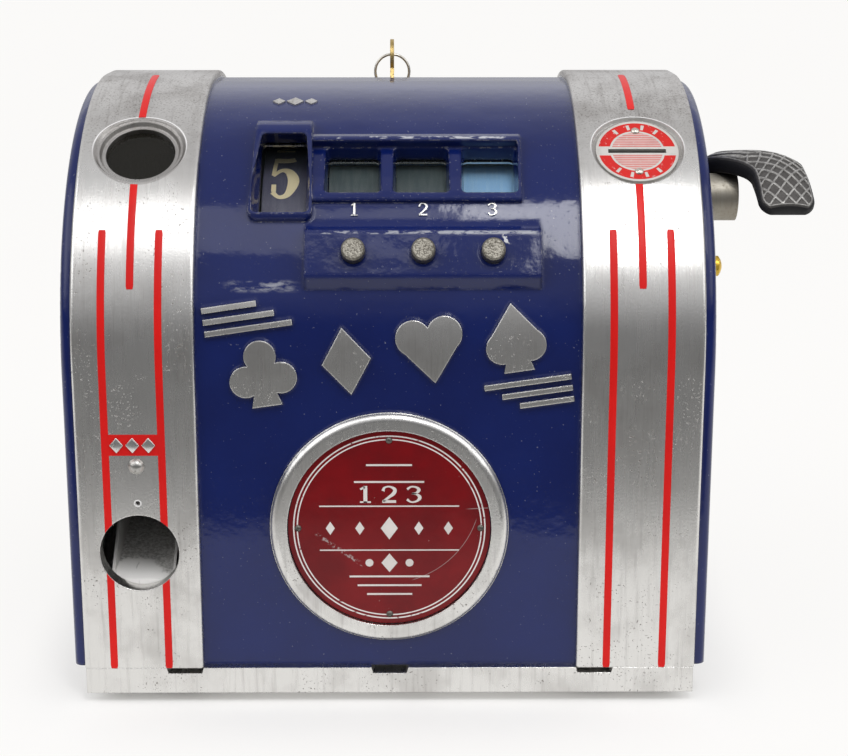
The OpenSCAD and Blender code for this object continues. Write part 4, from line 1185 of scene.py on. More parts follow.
class Look:
    """The finishes of this object."""

    navy = Enamel(
        "navy_enamel",
        colour=(0.0036, 0.0118, 0.097),
        shade=(0.0027, 0.0090, 0.081),
        rough=0.09,
        edge=0.6,
        coat=0.06,
        aged=1.0,
        gloss=0.42,
    )
    cast = Metal("polished_casting", (0.76, 0.75, 0.73), (0.26, 0.24, 0.225), 0.27, Grain.CAST, 0.5)
    casting = CabinetCast("cabinet_casting", navy, cast)
    stripe = Enamel(
        "stripe_enamel",
        colour=(0.70, 0.010, 0.008),
        shade=(0.60, 0.008, 0.007),
        rough=0.36,
        edge=0.15,
        coat=0.0,
        gloss=0.22,
    )
    white = Enamel("white_print", (0.74, 0.70, 0.67), (0.6, 0.55, 0.52), 0.35, 0.05, 0.0)
    cream = Enamel("cream_print", (1.0, 0.89, 0.56), (1.0, 0.86, 0.52), 0.45, 0.05, 0.0)
    spot = Enamel("spot_print", (0.55, 0.03, 0.025), (0.4, 0.02, 0.02), 0.4, 0.05, 0.0)
    disc = DiscEnamel("disc_enamel")
    coin_plate = CoinPlateEtch("coin_plate_etch")
    nickel = Metal("worn_nickel", (0.62, 0.59, 0.53), (0.22, 0.18, 0.13), 0.3, Grain.PLATED, 0.4)
    pebbled = Metal("pebbled_nickel", (0.27, 0.255, 0.222), (0.07, 0.060, 0.046), 0.4, Grain.PEBBLED, 0.5)
    dull = Metal("dull_screw", (0.16, 0.15, 0.135), (0.05, 0.045, 0.04), 0.42, Grain.PLATED, 0.3)
    hub = Metal("hub_nickel", (0.42, 0.395, 0.34), (0.23, 0.185, 0.12), 0.5, Grain.ROLLED, 0.8)
    rivet = Metal("dome_rivet", (0.46, 0.45, 0.43), (0.2, 0.19, 0.175), 0.34, Grain.PLATED, 0.3)
    # painted shade: the coin chute is near-black so the coin slot reads dark
    black = Metal("shade_black_sheet", (0.010, 0.010, 0.009), (0.006, 0.006, 0.005), 0.6, Grain.ROLLED, 0.15)
    steel = Metal("plated_steel", (0.5, 0.5, 0.5), (0.24, 0.23, 0.22), 0.34, Grain.ROLLED, 0.3)
    spring = Metal("spring_steel", (0.3, 0.3, 0.31), (0.12, 0.11, 0.1), 0.35, Grain.PLATED, 0.1)
    sheet = Metal("tinned_sheet", (0.72, 0.72, 0.71), (0.4, 0.39, 0.37), 0.27, Grain.ROLLED, 0.15)
    trough = TroughSheet("trough_sheet")
    screw = Metal("bright_brass", (0.80, 0.52, 0.05), (0.4, 0.26, 0.06), 0.34, Grain.PLATED, 0.3, 0.6)
    brass = Metal("aged_brass", (0.50, 0.37, 0.15), (0.22, 0.15, 0.06), 0.42, Grain.PLATED, 0.3)
    iron = KnurledIron("lever_iron")
    odds = DrumPaint("odds_reel_paint", (0.085, 0.085, 0.14), (0.13, 0.13, 0.19), 0.4)
    reel = DrumPaint("reel_paint", (0.33, 0.62, 0.95), (0.42, 0.70, 0.97), 0.4)
    shutter = DrumPaint("shutter_paint", (0.06, 0.085, 0.09), (0.1, 0.125, 0.125), 0.35)
    glass = Pane("old_glass")
    # painted shade: the porthole glass is near-black and mostly opaque, standing in for the dark inside
    # behind it
    port = Pane("shade_dark_glass", (0.012, 0.011, 0.008), 0.74, 0.3)
    rubber = Rubber("black_rubber")


FIGURES: Dict[str, List[List[Tuple[float, float, float]]]] = {
    "0": [
        [
            (0.0, 0.46, 0.07), (0.25, 0.2, 0.18), (0.25, -0.2, 0.18), (0.0, -0.46, 0.07),
            (-0.25, -0.2, 0.18), (-0.25, 0.2, 0.18), (0.0, 0.46, 0.07),
        ],
    ],
    "1": [
        [(0.02, 0.5, 0.19), (0.02, -0.5, 0.19)],
        [(-0.2, 0.3, 0.09), (0.0, 0.44, 0.12)],
        [(-0.22, -0.46, 0.08), (0.26, -0.46, 0.08)],
    ],
    "2": [
        [
            (-0.27, 0.2, 0.17), (-0.2, 0.4, 0.1), (0.02, 0.46, 0.08), (0.24, 0.3, 0.17),
            (0.2, 0.06, 0.18), (-0.02, -0.18, 0.13), (-0.26, -0.42, 0.1),
        ],
        [(-0.3, -0.43, 0.14), (0.3, -0.43, 0.14)],
    ],
    "3": [
        [
            (-0.27, 0.3, 0.13), (-0.1, 0.45, 0.08), (0.12, 0.42, 0.1), (0.24, 0.26, 0.17),
            (0.12, 0.08, 0.1), (-0.06, 0.04, 0.08),
        ],
        [
            (-0.06, 0.04, 0.08), (0.15, 0.0, 0.1), (0.28, -0.2, 0.18), (0.14, -0.41, 0.1),
            (-0.1, -0.46, 0.08), (-0.28, -0.3, 0.13),
        ],
    ],
    "5": [
        [(-0.2, 0.42, 0.16), (0.08, 0.41, 0.15), (0.28, 0.45, 0.13)],
        [(-0.19, 0.48, 0.07), (-0.24, 0.0, 0.07)],
        [
            (-0.24, -0.02, 0.05), (-0.05, 0.12, 0.09), (0.15, 0.08, 0.15), (0.27, -0.14, 0.2),
            (0.14, -0.4, 0.12), (-0.08, -0.46, 0.07), (-0.25, -0.36, 0.09),
        ],
        [(-0.28, -0.28, 0.16), (-0.16, -0.28, 0.16)],
    ],
}
FIGURE_STEP = 0.72
PRINT_DEPTH = 0.3


def figure_shape(text: str, height: float, width: float = 1.0, weight: float = 0.8) -> Shape:
    """Flat numerals, centred, as closed plates.

    Args:
        text: The digits.
        height: Their height in millimetres.
        width: Their share of the usual width.
        weight: Their share of the usual stroke.

    Returns:
        The shape in millimetres, its face at height 0.
    """
    shape = Shape()
    for place, digit in enumerate(text):
        shift = (place - (len(text) - 1) / 2) * FIGURE_STEP
        for line in FIGURES[digit]:
            shape.stroke(
                [((x + shift) * height * width, y * height, w * height * weight) for x, y, w in line]
            )
    shape.thicken(PRINT_DEPTH)
    return shape


@dataclass(frozen=True)
class Opening:
    """A round opening in a band that cuts the stripes: its middle and its radius."""

    x: float
    s: float
    radius: float

    def edge(self, x: float, above: bool) -> float:
        """Length along the outline where a stripe meets the opening.

        Args:
            x: Where the stripe runs.
            above: Whether the stripe stands over the opening.

        Returns:
            The length from where the rounding starts.
        """
        reach = math.sqrt(max(0.0, self.radius**2 - (x - self.x) ** 2))
        if self.s > 0:
            reach = OUTLINE.front_r * math.asin(reach / (OUTLINE.front_r + OUTLINE.band_t))
        return self.s + (reach if above else -reach)


@dataclass(frozen=True)
class Span:
    """One run of a stripe: its middle, and each end as a length or as an opening."""

    x: float
    low: Union[float, Opening]
    high: Union[float, Opening]

    def ends(self, x: float) -> Point:
        """Start and end of the run.

        Args:
            x: Distance from the centre line.

        Returns:
            The two lengths along the outline.
        """
        low = self.low.edge(x, True) if isinstance(self.low, Opening) else self.low
        high = self.high.edge(x, False) if isinstance(self.high, Opening) else self.high
        return low, high


@dataclass
class BandStripes:
    """Red stripes painted down the two polished bands."""

    outline: Outline = OUTLINE
    width: float = 2.75
    lift: float = 0.1
    crown: float = 0.12
    foot: float = -113.9
    top_angle: float = 30.5
    middle_angle: float = 17.9
    crest_angle: float = 86.0
    corner: float = 0.3
    corner_cut: float = 0.8
    clear: float = 0.05
    coin_gap: float = 4.8
    across: int = 4
    least_parts: int = 8
    part_length: float = 1.2
    left: Tuple[float, float, float] = (-104.2, -93.7, -83.5)
    right: Tuple[float, float, float] = (81.9, 92.4, 102.9)
    outlet: Opening = Opening(-93.0, -68.0, 14.8)

    def strip(self, shape: Shape, span: Span) -> None:
        """Adds one run.

        Args:
            shape: The mesh to add to.
            span: Its middle and its ends.
        """
        start, stop = span.ends(span.x)
        parts = max(self.least_parts, int((stop - start) / self.part_length))
        half = self.width / 2

        def place(co: Vector) -> Vector:
            """Moves a corner of the flat square to its place on the run.

            Args:
                co: The corner.

            Returns:
                Its place.
            """
            share = 2 * co.x
            low, high = span.ends(span.x + share * half)
            s = low + (co.y + 0.5) * (high - low)
            free = [s - low] if not isinstance(span.low, Opening) else []
            free += [high - s] if not isinstance(span.high, Opening) else []
            near = min(free, default=self.corner)
            trim = max(0.0, self.corner - near) * self.corner_cut
            rise = self.lift + self.crown * (1 - share**2)
            return Vector((span.x + share * (half - trim), s, rise))

        shape.mould(place, shape.grid(self.across, parts))

    def spans(self) -> List[Span]:
        """The runs of all stripes.

        Returns:
            One span for each run.
        """
        o = self.outline
        top = o.at(self.top_angle)
        spans: List[Span] = []
        for xs in (self.left, self.right):
            level = o.front_r * o.round_a
            disc = Opening(math.copysign(o.round_x, xs[0]), level, o.recess_r + self.clear)
            spans.append(Span(xs[1], o.at(self.middle_angle), disc))
            over_coin = level + o.recess_r + self.coin_gap
            upper = disc if xs is self.left else over_coin
            spans.append(Span(xs[1], upper, o.at(self.crest_angle)))
            for x in (xs[0], xs[2]):
                if xs is self.left:
                    spans.append(Span(x, self.foot, self.outlet))
                    spans.append(Span(x, self.outlet, top))
                else:
                    spans.append(Span(x, self.foot, top))
        return spans

    def build(self) -> None:
        """Makes the stripes as one piece on the cabinet."""
        shape = Shape()
        for span in self.spans():
            self.strip(shape, span)
        shape.thicken(PRINT_DEPTH)
        shape.mould(lambda co: self.outline.on_front(co.x, co.y, self.outline.band_t + co.z))
        shape.piece("band_stripes", Look.stripe.material(), "case")


@dataclass
class FrontMarks:
    """Raised and painted marks: button numerals, odds lozenges and the red field on the band."""

    outline: Outline = OUTLINE
    numeral: float = 5.2
    numeral_angle: float = 35.9
    numeral_rise: float = 0.55
    numeral_deep: float = 3.0
    lozenge: float = 2.4
    lozenge_angle: float = 70.5
    lozenge_step: float = 2.6
    lozenge_large: float = 1.35
    lozenge_shift: float = 1.5
    lozenge_rise: float = 0.7
    lozenge_t: float = 1.2
    field_x: float = -94.1
    field_z: float = 101.8
    field_w: float = 18.8
    field_h: float = 8.0
    field_rise: float = 0.12
    block: float = 2.6
    block_tall: float = 1.15
    block_step: float = 5.9
    block_rise: float = 0.7
    block_t: float = 0.8
    block_edge: float = 0.22

    def numerals(self) -> None:
        """Raised numerals over the buttons."""
        o = self.outline
        for index, digit in enumerate("123"):
            shape = figure_shape(digit, self.numeral)
            x = o.row(index + 1)
            s = o.at(self.numeral_angle)
            rise, deep = self.numeral_rise, self.numeral_deep
            shape.mould(lambda co, x=x, s=s: o.on_front(x + co.x, s + co.y, rise + co.z * deep))
            shape.piece(f"button_numeral_{digit}", Look.cast.material(), "case")

    def lozenges(self) -> None:
        """Row of raised lozenges over the odds window."""
        o = self.outline
        shape = Shape()
        for k in (-1, 0, 1):
            middle = k * self.lozenge * self.lozenge_step
            size = self.lozenge * (self.lozenge_large if k == 0 else 1.0)
            shape.lozenge((size, size), (middle, 0.0))
        shape.thicken(self.lozenge_t)
        x = o.row(0) + self.lozenge_shift
        s = o.at(self.lozenge_angle)
        shape.mould(lambda co: o.on_front(x + co.x, s + co.y, self.lozenge_rise + co.z))
        shape.piece("odds_lozenges", Look.cast.material(), "case", False)

    def field(self) -> None:
        """Red field on the left band with three raised bare lozenges."""
        o = self.outline
        s = self.field_z - o.arc_z
        shape = Shape()
        plate = shape.grid(4, 2)
        shape.mould(lambda co: Vector((co.x * self.field_w, co.y * self.field_h, 0.0)), plate)
        shape.thicken(PRINT_DEPTH)
        over = o.band_t + self.field_rise
        shape.mould(lambda co: o.on_front(self.field_x + co.x, s + co.y, over + co.z))
        shape.piece("gum_field", Look.stripe.material(), "case", False)
        raised = Shape()
        for k in (-1, 0, 1):
            raised.lozenge((self.block, self.block * self.block_tall), (k * self.block_step, 0.0))
        raised.thicken(self.block_t)
        bmesh.ops.bevel(
            raised.bm,
            geom=list(raised.bm.edges),
            offset=self.block_edge,
            segments=2,
            profile=0.5,
            affect="EDGES",
            material=-1,
        )
        top = o.band_t + self.block_rise
        raised.mould(lambda co: o.on_front(self.field_x + co.x, s + co.y, top + co.z))
        raised.piece("field_lozenges", Look.cast.material(), "case")

    def build(self) -> None:
        """Makes the marks."""
        self.numerals()
        self.lozenges()
        self.field()


@dataclass
class DiscPrint:
    """White print on the enamel disc: numerals, lozenges, dots and stepped lines."""

    outline: Outline = OUTLINE
    face: float = 1.26
    depth: float = 0.12
    bars: Tuple[Tuple[float, float, float], ...] = (
        (24.5, 17.0, 0.7),
        (18.0, 26.0, 0.7),
        (8.6, 52.0, 0.5),
        (-8.6, 52.0, 0.5),
        (-19.0, 30.0, 0.7),
        (-22.5, 24.0, 0.7),
        (-26.0, 17.0, 0.7),
    )
    row_at: Tuple[float, ...] = (-22.0, -11.0, 11.0, 22.0)
    row_size: Point = (1.7, 2.6)
    middle_size: Point = (3.2, 4.4)
    low_size: Point = (3.0, 3.7)
    low_up: float = -13.6
    dot_at: Tuple[float, ...] = (-7.5, 7.5)
    dot_r: float = 1.5
    figure_up: float = 13.2
    figure_step: float = 9.0
    figure_size: Tuple[float, float, float] = (8.5, 6.5, 7.5)

    def place(self, co: Vector) -> Vector:
        """Lays a flat point on the disc's face."""
        o = self.outline
        return o.on_front(co.x, o.ring_z - o.arc_z + co.y, self.face + co.z)

    def figures(self, shape: Shape) -> None:
        """Adds the row of numerals.

        Args:
            shape: The mesh to add to.
        """
        wide, tall, heavy = self.figure_size
        for place, digit in enumerate("123"):
            middle = (place - 1) * self.figure_step
            for line in FIGURES[digit]:
                shape.stroke(
                    [(middle + x * wide, self.figure_up + y * tall, w * heavy) for x, y, w in line]
                )

    def build(self) -> None:
        """Makes the print as one piece on the disc."""
        shape = Shape()
        for up, length, height in self.bars:

            def lay(co: Vector, up: float = up, length: float = length, height: float = height) -> Vector:
                """Stretches the flat square to a bar."""
                return Vector((co.x * length, up + co.y * height, 0.0))

            shape.mould(lay, shape.grid(1, 1))
        for x in self.row_at:
            shape.lozenge(self.row_size, (x, 0.0))
        self.figures(shape)
        for x in self.dot_at:
            shape.disc(self.dot_r, DOT_SEGMENTS, (x, self.low_up))
        shape.lozenge(self.low_size, (0.0, self.low_up))
        shape.lozenge(self.middle_size)
        shape.thicken(self.depth)
        shape.mould(self.place)
        shape.piece("disc_print", Look.white.material(), "case", False)


@dataclass
class ReelFaces:
    """Numerals round the odds reel and spots round the three game reels."""

    outline: Outline = OUTLINE
    numeral: float = 24.5
    narrow: float = 0.62
    raised: float = 9.6
    shift: float = -2.4
    odds: Tuple[str, ...] = ("5", "2", "10", "2", "3", "5", "2", "20", "3", "2")
    lift: float = 0.12
    lesser: float = 0.78
    two_digit: float = 0.6
    weight: float = 0.9
    spot_r: float = 6.5
    spot_segments: int = 40
    spot_cuts: int = 3
    spot_places: Tuple[int, ...] = (1, 4, 7)

    def wrap(self, row: int, angle: float, co: Vector) -> Vector:
        """Lays a flat point on a reel.

        Args:
            row: The reel's row.
            angle: Where the flat's middle goes, up from the front, in radians.
            co: The flat point in millimetres.

        Returns:
            The point in metres.
        """
        y, z = self.outline.reel_axis()
        turn = angle + co.y / self.outline.reel_r
        radius = self.outline.reel_r + self.lift + co.z
        x = self.outline.row(row) + co.x + (self.shift if row == 0 else 0.0)
        return Vector((x, y - radius * math.cos(turn), z + radius * math.sin(turn))) * MM

    def build(self) -> None:
        """Makes the reel prints."""
        step = 2 * math.pi / len(self.odds)
        start = self.outline.window_a + self.raised / self.outline.reel_r
        for place, text in enumerate(self.odds):
            tall = self.numeral * (1.0 if place == 0 else self.lesser)
            wide = self.narrow * (1.0 if len(text) == 1 else self.two_digit)
            shape = figure_shape(text, tall, wide, self.weight)
            angle = start + place * step
            shape.mould(lambda co, angle=angle: self.wrap(0, angle, co))
            shape.piece(f"odds_numeral_{place}", Look.cream.material(), "odds_reel")
        for row, body in enumerate(("reel_left", "reel_centre", "reel_right"), 1):
            shape = Shape()
            for place in self.spot_places:

                def lay(co: Vector, place: int = place, row: int = row) -> Vector:
                    """Lays one spot."""
                    return self.wrap(row, self.outline.window_a + (place + row % 2) * step, co)

                ring = Shape()
                ring.disc(self.spot_r, self.spot_segments)
                bmesh.ops.subdivide_edges(
                    ring.bm, edges=list(ring.bm.edges), cuts=self.spot_cuts, use_grid_fill=True
                )
                ring.thicken(PRINT_DEPTH)
                ring.mould(lay)
                mesh = bpy.data.meshes.new("spot")
                ring.bm.to_mesh(mesh)
                shape.bm.from_mesh(mesh)
                ring.bm.free()
                bpy.data.meshes.remove(mesh)
            shape.piece(f"{body}_spots", Look.spot.material(), body)


@dataclass
class KnurledLever:
    """The cast lever: grooved neck over the hub and a drooping crowned pad with a diamond lattice."""

    root_y: float = -27.0
    tip_y: float = -85.0
    arch_y: float = -48.0
    arch_z: float = 142.0
    arch_r: float = 58.0
    arm_t: float = 5.5
    neck_in: float = 122.0
    neck_out: float = 135.0
    pad_in: float = 136.0
    pad_out: float = 156.5
    inner_lag: float = 3.0
    inner_run: float = 36.0
    outer_run: float = 33.0
    corner: float = 5.0
    pad_crown: float = 1.6
    neck_crown: float = 3.4
    neck_from: float = 22.0
    neck_run: float = 30.0
    pad_bulge: float = 2.2
    bulge_rise: float = 14.0
    bulge_end: float = 48.0
    bulge_fall: float = 20.0
    cell: float = 4.8
    slant: float = 0.72
    line: float = 0.6
    line_soft: float = 0.45
    relief_h: float = 0.6
    groove: float = 3.1
    groove_flat: float = 0.2
    groove_soft: float = 0.7
    lattice_from: float = 23.0
    lattice_run: float = 4.0
    border: float = 1.3
    border_soft: float = 0.5
    rim_half: float = 0.1
    rim_h: float = 0.8
    # width of the edge band that the lever finish paints near-black as shade
    shaded_flank: float = 0.6
    round_r: float = 1.4
    droop: float = 1.5
    droop_run: float = 20.0
    inset: float = 0.05
    across: int = 110
    along: int = 260

    @staticmethod
    def ease(share: float) -> float:
        """Smooth step from 0 to 1."""
        part = min(max(share, 0.0), 1.0)
        return part * part * (3 - 2 * part)

    def edges(self, y: float) -> Tuple[float, float]:
        """Inner and outer edge of the plan.

        Args:
            y: The station along the arm.

        Returns:
            The two distances from the centre line.
        """
        inward = self.ease((self.root_y - self.inner_lag - y) / self.inner_run)
        outward = self.ease((self.root_y - y) / self.outer_run)
        inner = self.neck_in + (self.pad_in - self.neck_in) * inward
        outer = self.neck_out + (self.pad_out - self.neck_out) * outward
        left = y - self.tip_y
        if left < self.corner:
            trim = self.corner - math.sqrt(max(0.0, self.corner**2 - (self.corner - left) ** 2))
            inner += trim
            outer -= trim
        return inner, outer

    def crown(self, y: float) -> float:
        """Height of the middle over the edges.

        Args:
            y: The station along the arm.

        Returns:
            The height.
        """
        toward_neck = self.ease((y - self.tip_y - self.neck_from) / self.neck_run)
        bulge = self.pad_bulge * self.ease((y - self.tip_y) / self.bulge_rise)
        bulge = bulge * self.ease((self.tip_y + self.bulge_end - y) / self.bulge_fall)
        return self.pad_crown + (self.neck_crown - self.pad_crown) * toward_neck + bulge

    def relief(self, x: float, s: float, near: float) -> float:
        """Height of the lattice on the pad and of the ridges on the neck.

        Args:
            x: Distance across from the middle.
            s: Length along the arm from its root.
            near: Distance to the nearest edge.

        Returns:
            Height from 0 to 1.
        """
        first = abs(((s * self.slant + x) / self.cell) % 1.0 - 0.5) * self.cell
        second = abs(((s * self.slant - x) / self.cell) % 1.0 - 0.5) * self.cell
        lattice = 1 - self.ease((min(first, second) - self.line / 2) / self.line_soft)
        furrow = abs((x / self.groove + 0.5) % 1.0 - 0.5) * self.groove
        ridges = self.ease((furrow - self.groove_flat) / self.groove_soft)
        pad = self.ease((s - self.lattice_from) / self.lattice_run)
        inside = self.ease((near - self.border) / self.border_soft)
        rim = 1 - self.ease((abs(near - self.border) - self.rim_half) / self.border_soft)
        return max((lattice * pad + ridges * (1 - pad)) * inside, rim * self.rim_h)

    def build(self) -> None:
        """Makes the lever in place of the plain casting."""
        shape = Shape()
        start = math.asin((self.root_y - self.arch_y) / self.arch_r)
        end = math.asin((self.tip_y - self.arch_y) / self.arch_r)
        total = self.arch_r * (start - end)
        heights: Dict[int, float] = {}
        shape.mould(lambda co: Vector((co.x + 0.5, co.y + 0.5, 0.0)), shape.grid(self.across, self.along))
        shape.thicken(1.0)
        shape.bm.verts.index_update()
        for corner in shape.bm.verts:
            share_x, share_y, low = corner.co
            angle = start + (end - start) * share_y
            y = self.arch_y + self.arch_r * math.sin(angle)
            inner, outer = self.edges(y)
            x = inner + (outer - inner) * share_x
            s = self.arch_r * (start - angle)
            near = min(x - inner, outer - x, total - s, s)
            drop = 0.0
            if near < self.round_r:
                drop = self.round_r - math.sqrt(max(0.0, self.round_r**2 - (self.round_r - near) ** 2))
            # a knurl height of -1 marks the underside and the edge band, which the lever finish paints
            # near-black as shade
            if low < -0.5:
                droop = self.droop * self.ease((self.tip_y + self.droop_run - y) / self.droop_run)
                radius = self.arch_r - self.arm_t + self.inset + droop + drop * 0.5
                heights[corner.index] = -1.0
            else:
                crown = self.crown(y)
                height = self.relief(x - (inner + outer) / 2, s, near)
                bulge = crown * (1 - (2 * share_x - 1) ** 2)
                radius = self.arch_r + bulge - drop - self.relief_h * (1 - height)
                heights[corner.index] = height if near > self.border - self.shaded_flank else -1.0
            y = self.arch_y + radius * math.sin(angle)
            corner.co = Vector((x, y, self.arch_z + radius * math.cos(angle)))
        shape.mould(lambda co: co * MM)
        layer = shape.bm.verts.layers.float.new("knurl")
        for corner in shape.bm.verts:
            corner[layer] = heights[corner.index]
        piece = shape.piece("knurled_lever", Look.iron.material(), "lever")
        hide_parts("lever")


@dataclass
class ButtonSprings:
    """The return springs behind the buttons, wound as fixed coils on the case."""

    row: Tuple[Tuple[str, float], ...] = (("left", -12.7), ("centre", 12.7), ("right", 38.1))
    foot_r: float = 87.06
    length: float = 8.08
    mean_r: float = 3.2
    wire: float = 0.8
    turns: int = 4
    steps: int = 24
    keep: float = 0.49

    def build(self) -> None:
        """Winds the three springs in place of the plain coils."""
        inward = Vector((0.0, math.cos(OUTLINE.button_a), -math.sin(OUTLINE.button_a)))
        centre = Vector((0.0, OUTLINE.arc_y, OUTLINE.arc_z))
        for side, x in self.row:
            foot = (centre - inward * self.foot_r + Vector((x, 0.0, 0.0))) * MM
            stand = Matrix.Translation(foot) @ (-inward).to_track_quat("Z", "Y").to_matrix().to_4x4()
            shape = Shape()
            shape.coil(self.mean_r * MM, self.wire * MM, self.length * MM, self.turns, self.steps)
            bmesh.ops.transform(shape.bm, matrix=stand, verts=list(shape.bm.verts))
            piece = shape.piece(f"button_coil_{side}", Look.spring.material(), "case")
            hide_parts(f"button_spring_{side}")
            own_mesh(piece)


@dataclass
class NodeDress:
    """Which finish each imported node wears."""

    finishes: Dict[str, Finish] = field(default_factory=dict)

    def __post_init__(self) -> None:
        """Lists the nodes by finish."""
        groups: List[Tuple[Finish, str]] = [
            (Look.casting, "cabinet"),
            (Look.navy, "back_door"),
            (Look.cast, "base gum_wheel"),
            (Look.rivet, "gum_rivet"),
            (Look.hub, "lever_hub"),
            (Look.black, "coin_chute"),
            (Look.rubber, "rubber_feet"),
            (Look.glass, "window_glass"),
            (Look.port, "porthole_glass"),
            (Look.disc, "front_disc"),
            (Look.coin_plate, "coin_plate"),
            (Look.pebbled, "button_left button_centre button_right"),
            (Look.nickel, "coin_plate_rivets key_ring"),
            (Look.dull, "disc_screws"),
            (Look.screw, "side_screw"),
            (Look.brass, "lever_bushing door_hinge lock_body lock_plug key"),
            (Look.iron, "lever"),
            (Look.odds, "odds_reel"),
            (Look.reel, "reel_left reel_centre reel_right"),
            (Look.shutter, "shutter_left shutter_centre shutter_right"),
            (Look.spring, "lever_spring button_spring_left button_spring_centre button_spring_right"),
            (Look.trough, "gum_chute"),
            (Look.sheet, "cash_box gum_hopper glass_retainer porthole_ring button_bracket"),
            (
                Look.steel,
                "cabinet_screws retainer_screws left_frame right_frame tie_rods tie_nuts frame_screws "
                "reel_shaft stop_bail main_shaft reel_kicker main_crank drive_link lever_shaft lever_crank "
                "hinge_pin lock_cam",
            ),
        ]
        for finish, names in groups:
            for name in names.split():
                self.finishes[name] = finish

    def dress(self, nodes: Mapping[str, bpy.types.Object]) -> None:
        """Gives every node its finish.

        Args:
            nodes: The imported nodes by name.
        """
        for name, node in nodes.items():
            material = self.finishes[name].material()
            node.data.materials.clear()
            node.data.materials.append(material)
            LOG.info("node %s wears %s", name, material.name)


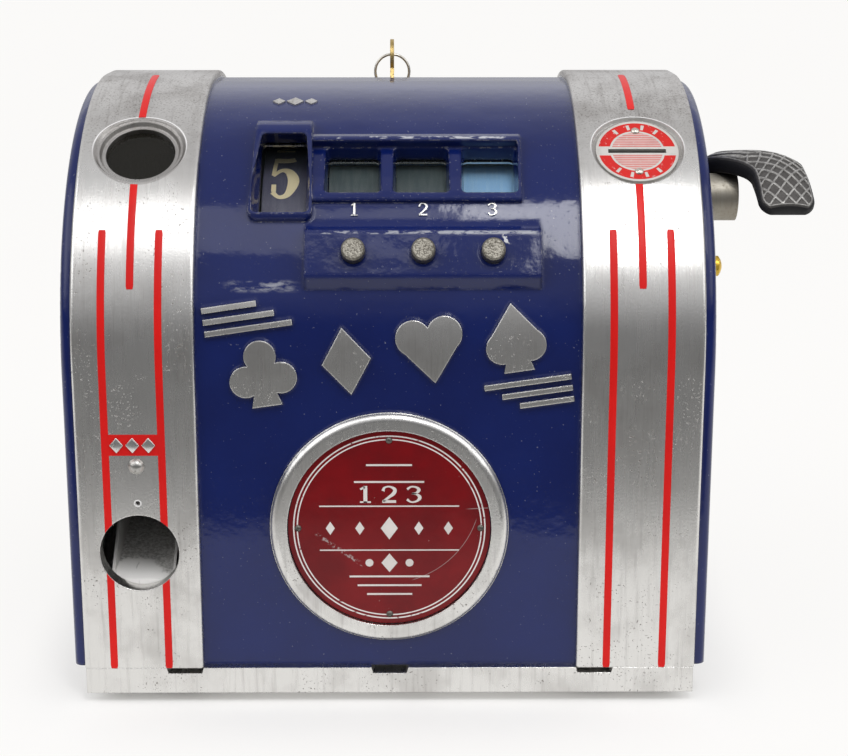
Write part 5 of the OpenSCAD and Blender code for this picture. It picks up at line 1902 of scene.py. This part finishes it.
@dataclass
class Studio:
    """Pale floor, soft lamps and the camera at the photograph's angle."""

    camera_at: Tuple[float, float, float] = (9.08, -737.96, 285.19)
    yaw: float = -0.006
    pitch: float = math.radians(13.92)
    lens: float = 76.68
    sensor: float = 36.0
    nearest: float = 0.01
    floor_size: float = 10.0
    pale_end: float = -286.0
    grey_start: float = -322.0
    pale: Tuple[Colour, Colour] = ((0.87, 0.865, 0.855), (0.89, 0.885, 0.875))
    glow: Colour = (0.985, 0.975, 0.96)
    grey: Colour = (0.2, 0.2, 0.2)
    # area under and round the object where the floor's glow is cut, as painted shade
    under_x: Point = (-125.0, 125.0)
    under_y: Point = (-128.0, 120.0)
    under_soft: float = 30.0
    room: float = 0.19
    overhead: float = 0.4
    behind: float = 0.36
    backdrop: float = 0.965

    def camera(self) -> None:
        """Sets the camera up."""
        data = bpy.data.cameras.new("camera")
        data.lens = self.lens
        data.sensor_width = self.sensor
        data.clip_start = self.nearest
        eye = bpy.data.objects.new("camera", data)
        eye.location = Vector(self.camera_at) * MM
        eye.rotation_euler = (math.pi / 2 - self.pitch, 0.0, self.yaw)
        bpy.context.scene.collection.objects.link(eye)
        bpy.context.scene.camera = eye

    def paper(self) -> bpy.types.Material:
        """The floor's paper: pale to the eye except for painted shade under and round the object, dimmer in
        reflections towards the front.

        Returns:
            The material.
        """
        recipe = Recipe("pale_paper")
        x, y, _ = recipe.axes()
        cloud = recipe.noise(160.0, 3.0)
        camera = recipe.node("ShaderNodeLightPath", output="Is Camera Ray")
        front = y.rise(self.pale_end, self.grey_start) * (1 - camera)
        pale = recipe.mix(cloud, *self.pale)
        colour = recipe.mix(front, pale, self.grey)
        shader = recipe.node("ShaderNodeBsdfPrincipled", values={"Base Color": colour, "Roughness": 0.6})
        bright = recipe.mix(front, self.glow, self.grey)
        glow = recipe.node("ShaderNodeEmission", values={"Color": bright, "Strength": 1.0})
        glossy = recipe.node("ShaderNodeLightPath", output="Is Glossy Ray")
        through = recipe.node("ShaderNodeLightPath", output="Is Transmission Ray")
        # painted shade: the glow is cut under and round the object, so the floor there is darker and the
        # rendered shadow shows at full strength
        under = x.within(*self.under_x, self.under_soft) * y.within(*self.under_y, self.under_soft)
        seen = camera * (0.88 - under * 0.8) + (glossy + through) * 0.98
        both = recipe.node("ShaderNodeMixShader", values={0: seen.least(1.0), 1: shader, 2: glow})
        recipe.node("ShaderNodeOutputMaterial", values={0: both})
        return recipe.material

    def floor(self) -> None:
        """Lays the pale floor."""
        shape = bmesh.new()
        bmesh.ops.create_grid(shape, x_segments=1, y_segments=1, size=self.floor_size)
        mesh = bpy.data.meshes.new("floor")
        shape.to_mesh(mesh)
        shape.free()
        mesh.materials.append(self.paper())
        floor = bpy.data.objects.new("floor", mesh)
        bpy.context.scene.collection.objects.link(floor)

    def softbox(
        self, name: str, at: Sequence[float], aim: Sequence[float], size: Point, power: float
    ) -> None:
        """Hangs a softbox.

        Args:
            name: Its name.
            at: Its place in metres.
            aim: The point that it faces.
            size: Its width and height.
            power: Its power in watts.
        """
        data = bpy.data.lights.new(name, "AREA")
        data.shape = "RECTANGLE"
        data.size, data.size_y = size
        data.energy = power
        lamp = bpy.data.objects.new(name, data)
        lamp.location = at
        lamp.rotation_euler = (Vector(aim) - Vector(at)).to_track_quat("-Z", "Y").to_euler()
        bpy.context.scene.collection.objects.link(lamp)

    def skylight(self, name: str, towards: Sequence[float], level: float, spread: float) -> None:
        """Adds one broad, even light from a side.

        Args:
            name: Its name.
            towards: Direction from the object to the light.
            level: Its strength.
            spread: Its width as seen from the object, in degrees.
        """
        data = bpy.data.lights.new(name, "SUN")
        data.energy = level
        data.angle = math.radians(spread)
        lamp = bpy.data.objects.new(name, data)
        lamp.rotation_euler = (-Vector(towards)).to_track_quat("-Z", "Y").to_euler()
        bpy.context.scene.collection.objects.link(lamp)

    def world(self) -> None:
        """Grey room that is brighter behind the object, with a pale backdrop."""
        world = bpy.data.worlds.new("room")
        world.use_nodes = True
        world.node_tree.nodes.clear()
        recipe = Recipe("room", world.node_tree)
        ray = recipe.node("ShaderNodeTexCoord", output="Generated")
        _, y, z = recipe.axes(ray)
        level = self.room + z.rise(0.13, 0.45) * self.overhead + y.rise(0.1, 0.85) * self.behind
        camera = recipe.node("ShaderNodeLightPath", output="Is Camera Ray")
        level = level * (1 - camera) + camera * self.backdrop
        blue = level * 1.02 - camera * 0.03
        shade = recipe.node("ShaderNodeCombineColor", values={0: level, 1: level, 2: blue})
        light = recipe.node("ShaderNodeBackground", values={"Color": shade, "Strength": 1.0})
        recipe.node("ShaderNodeOutputWorld", values={0: light})
        bpy.context.scene.world = world

    def build(self) -> None:
        """Sets the whole studio up."""
        self.camera()
        self.floor()
        self.world()
        self.softbox(
            "softbox", at=(-0.18, -0.82, 1.18), aim=(0.0, -0.09, 0.17), size=(0.54, 0.52), power=1.25
        )
        self.softbox(
            "front_lamp", at=(0.23, -0.82, 1.19), aim=(0.03, -0.09, 0.17), size=(0.26, 0.6), power=4.4
        )
        self.skylight("left_sky", towards=(-0.75, -0.4, 0.6), level=0.85, spread=50.0)
        self.skylight("right_sky", towards=(0.75, -0.4, 0.6), level=0.75, spread=50.0)
        bpy.context.scene.view_settings.view_transform = "Standard"


def main() -> None:
    """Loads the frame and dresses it."""
    logging.basicConfig(level=logging.INFO)
    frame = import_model()
    Studio().build()
    NodeDress().dress(frame["nodes"])
    assemblies = (BandStripes(), FrontMarks(), DiscPrint(), ReelFaces(), KnurledLever(), ButtonSprings())
    for assembly in assemblies:
        assembly.build()
        LOG.info("built %s", type(assembly).__name__)
    bpy.context.view_layer.update()


if __name__ == "__main__":
    main()
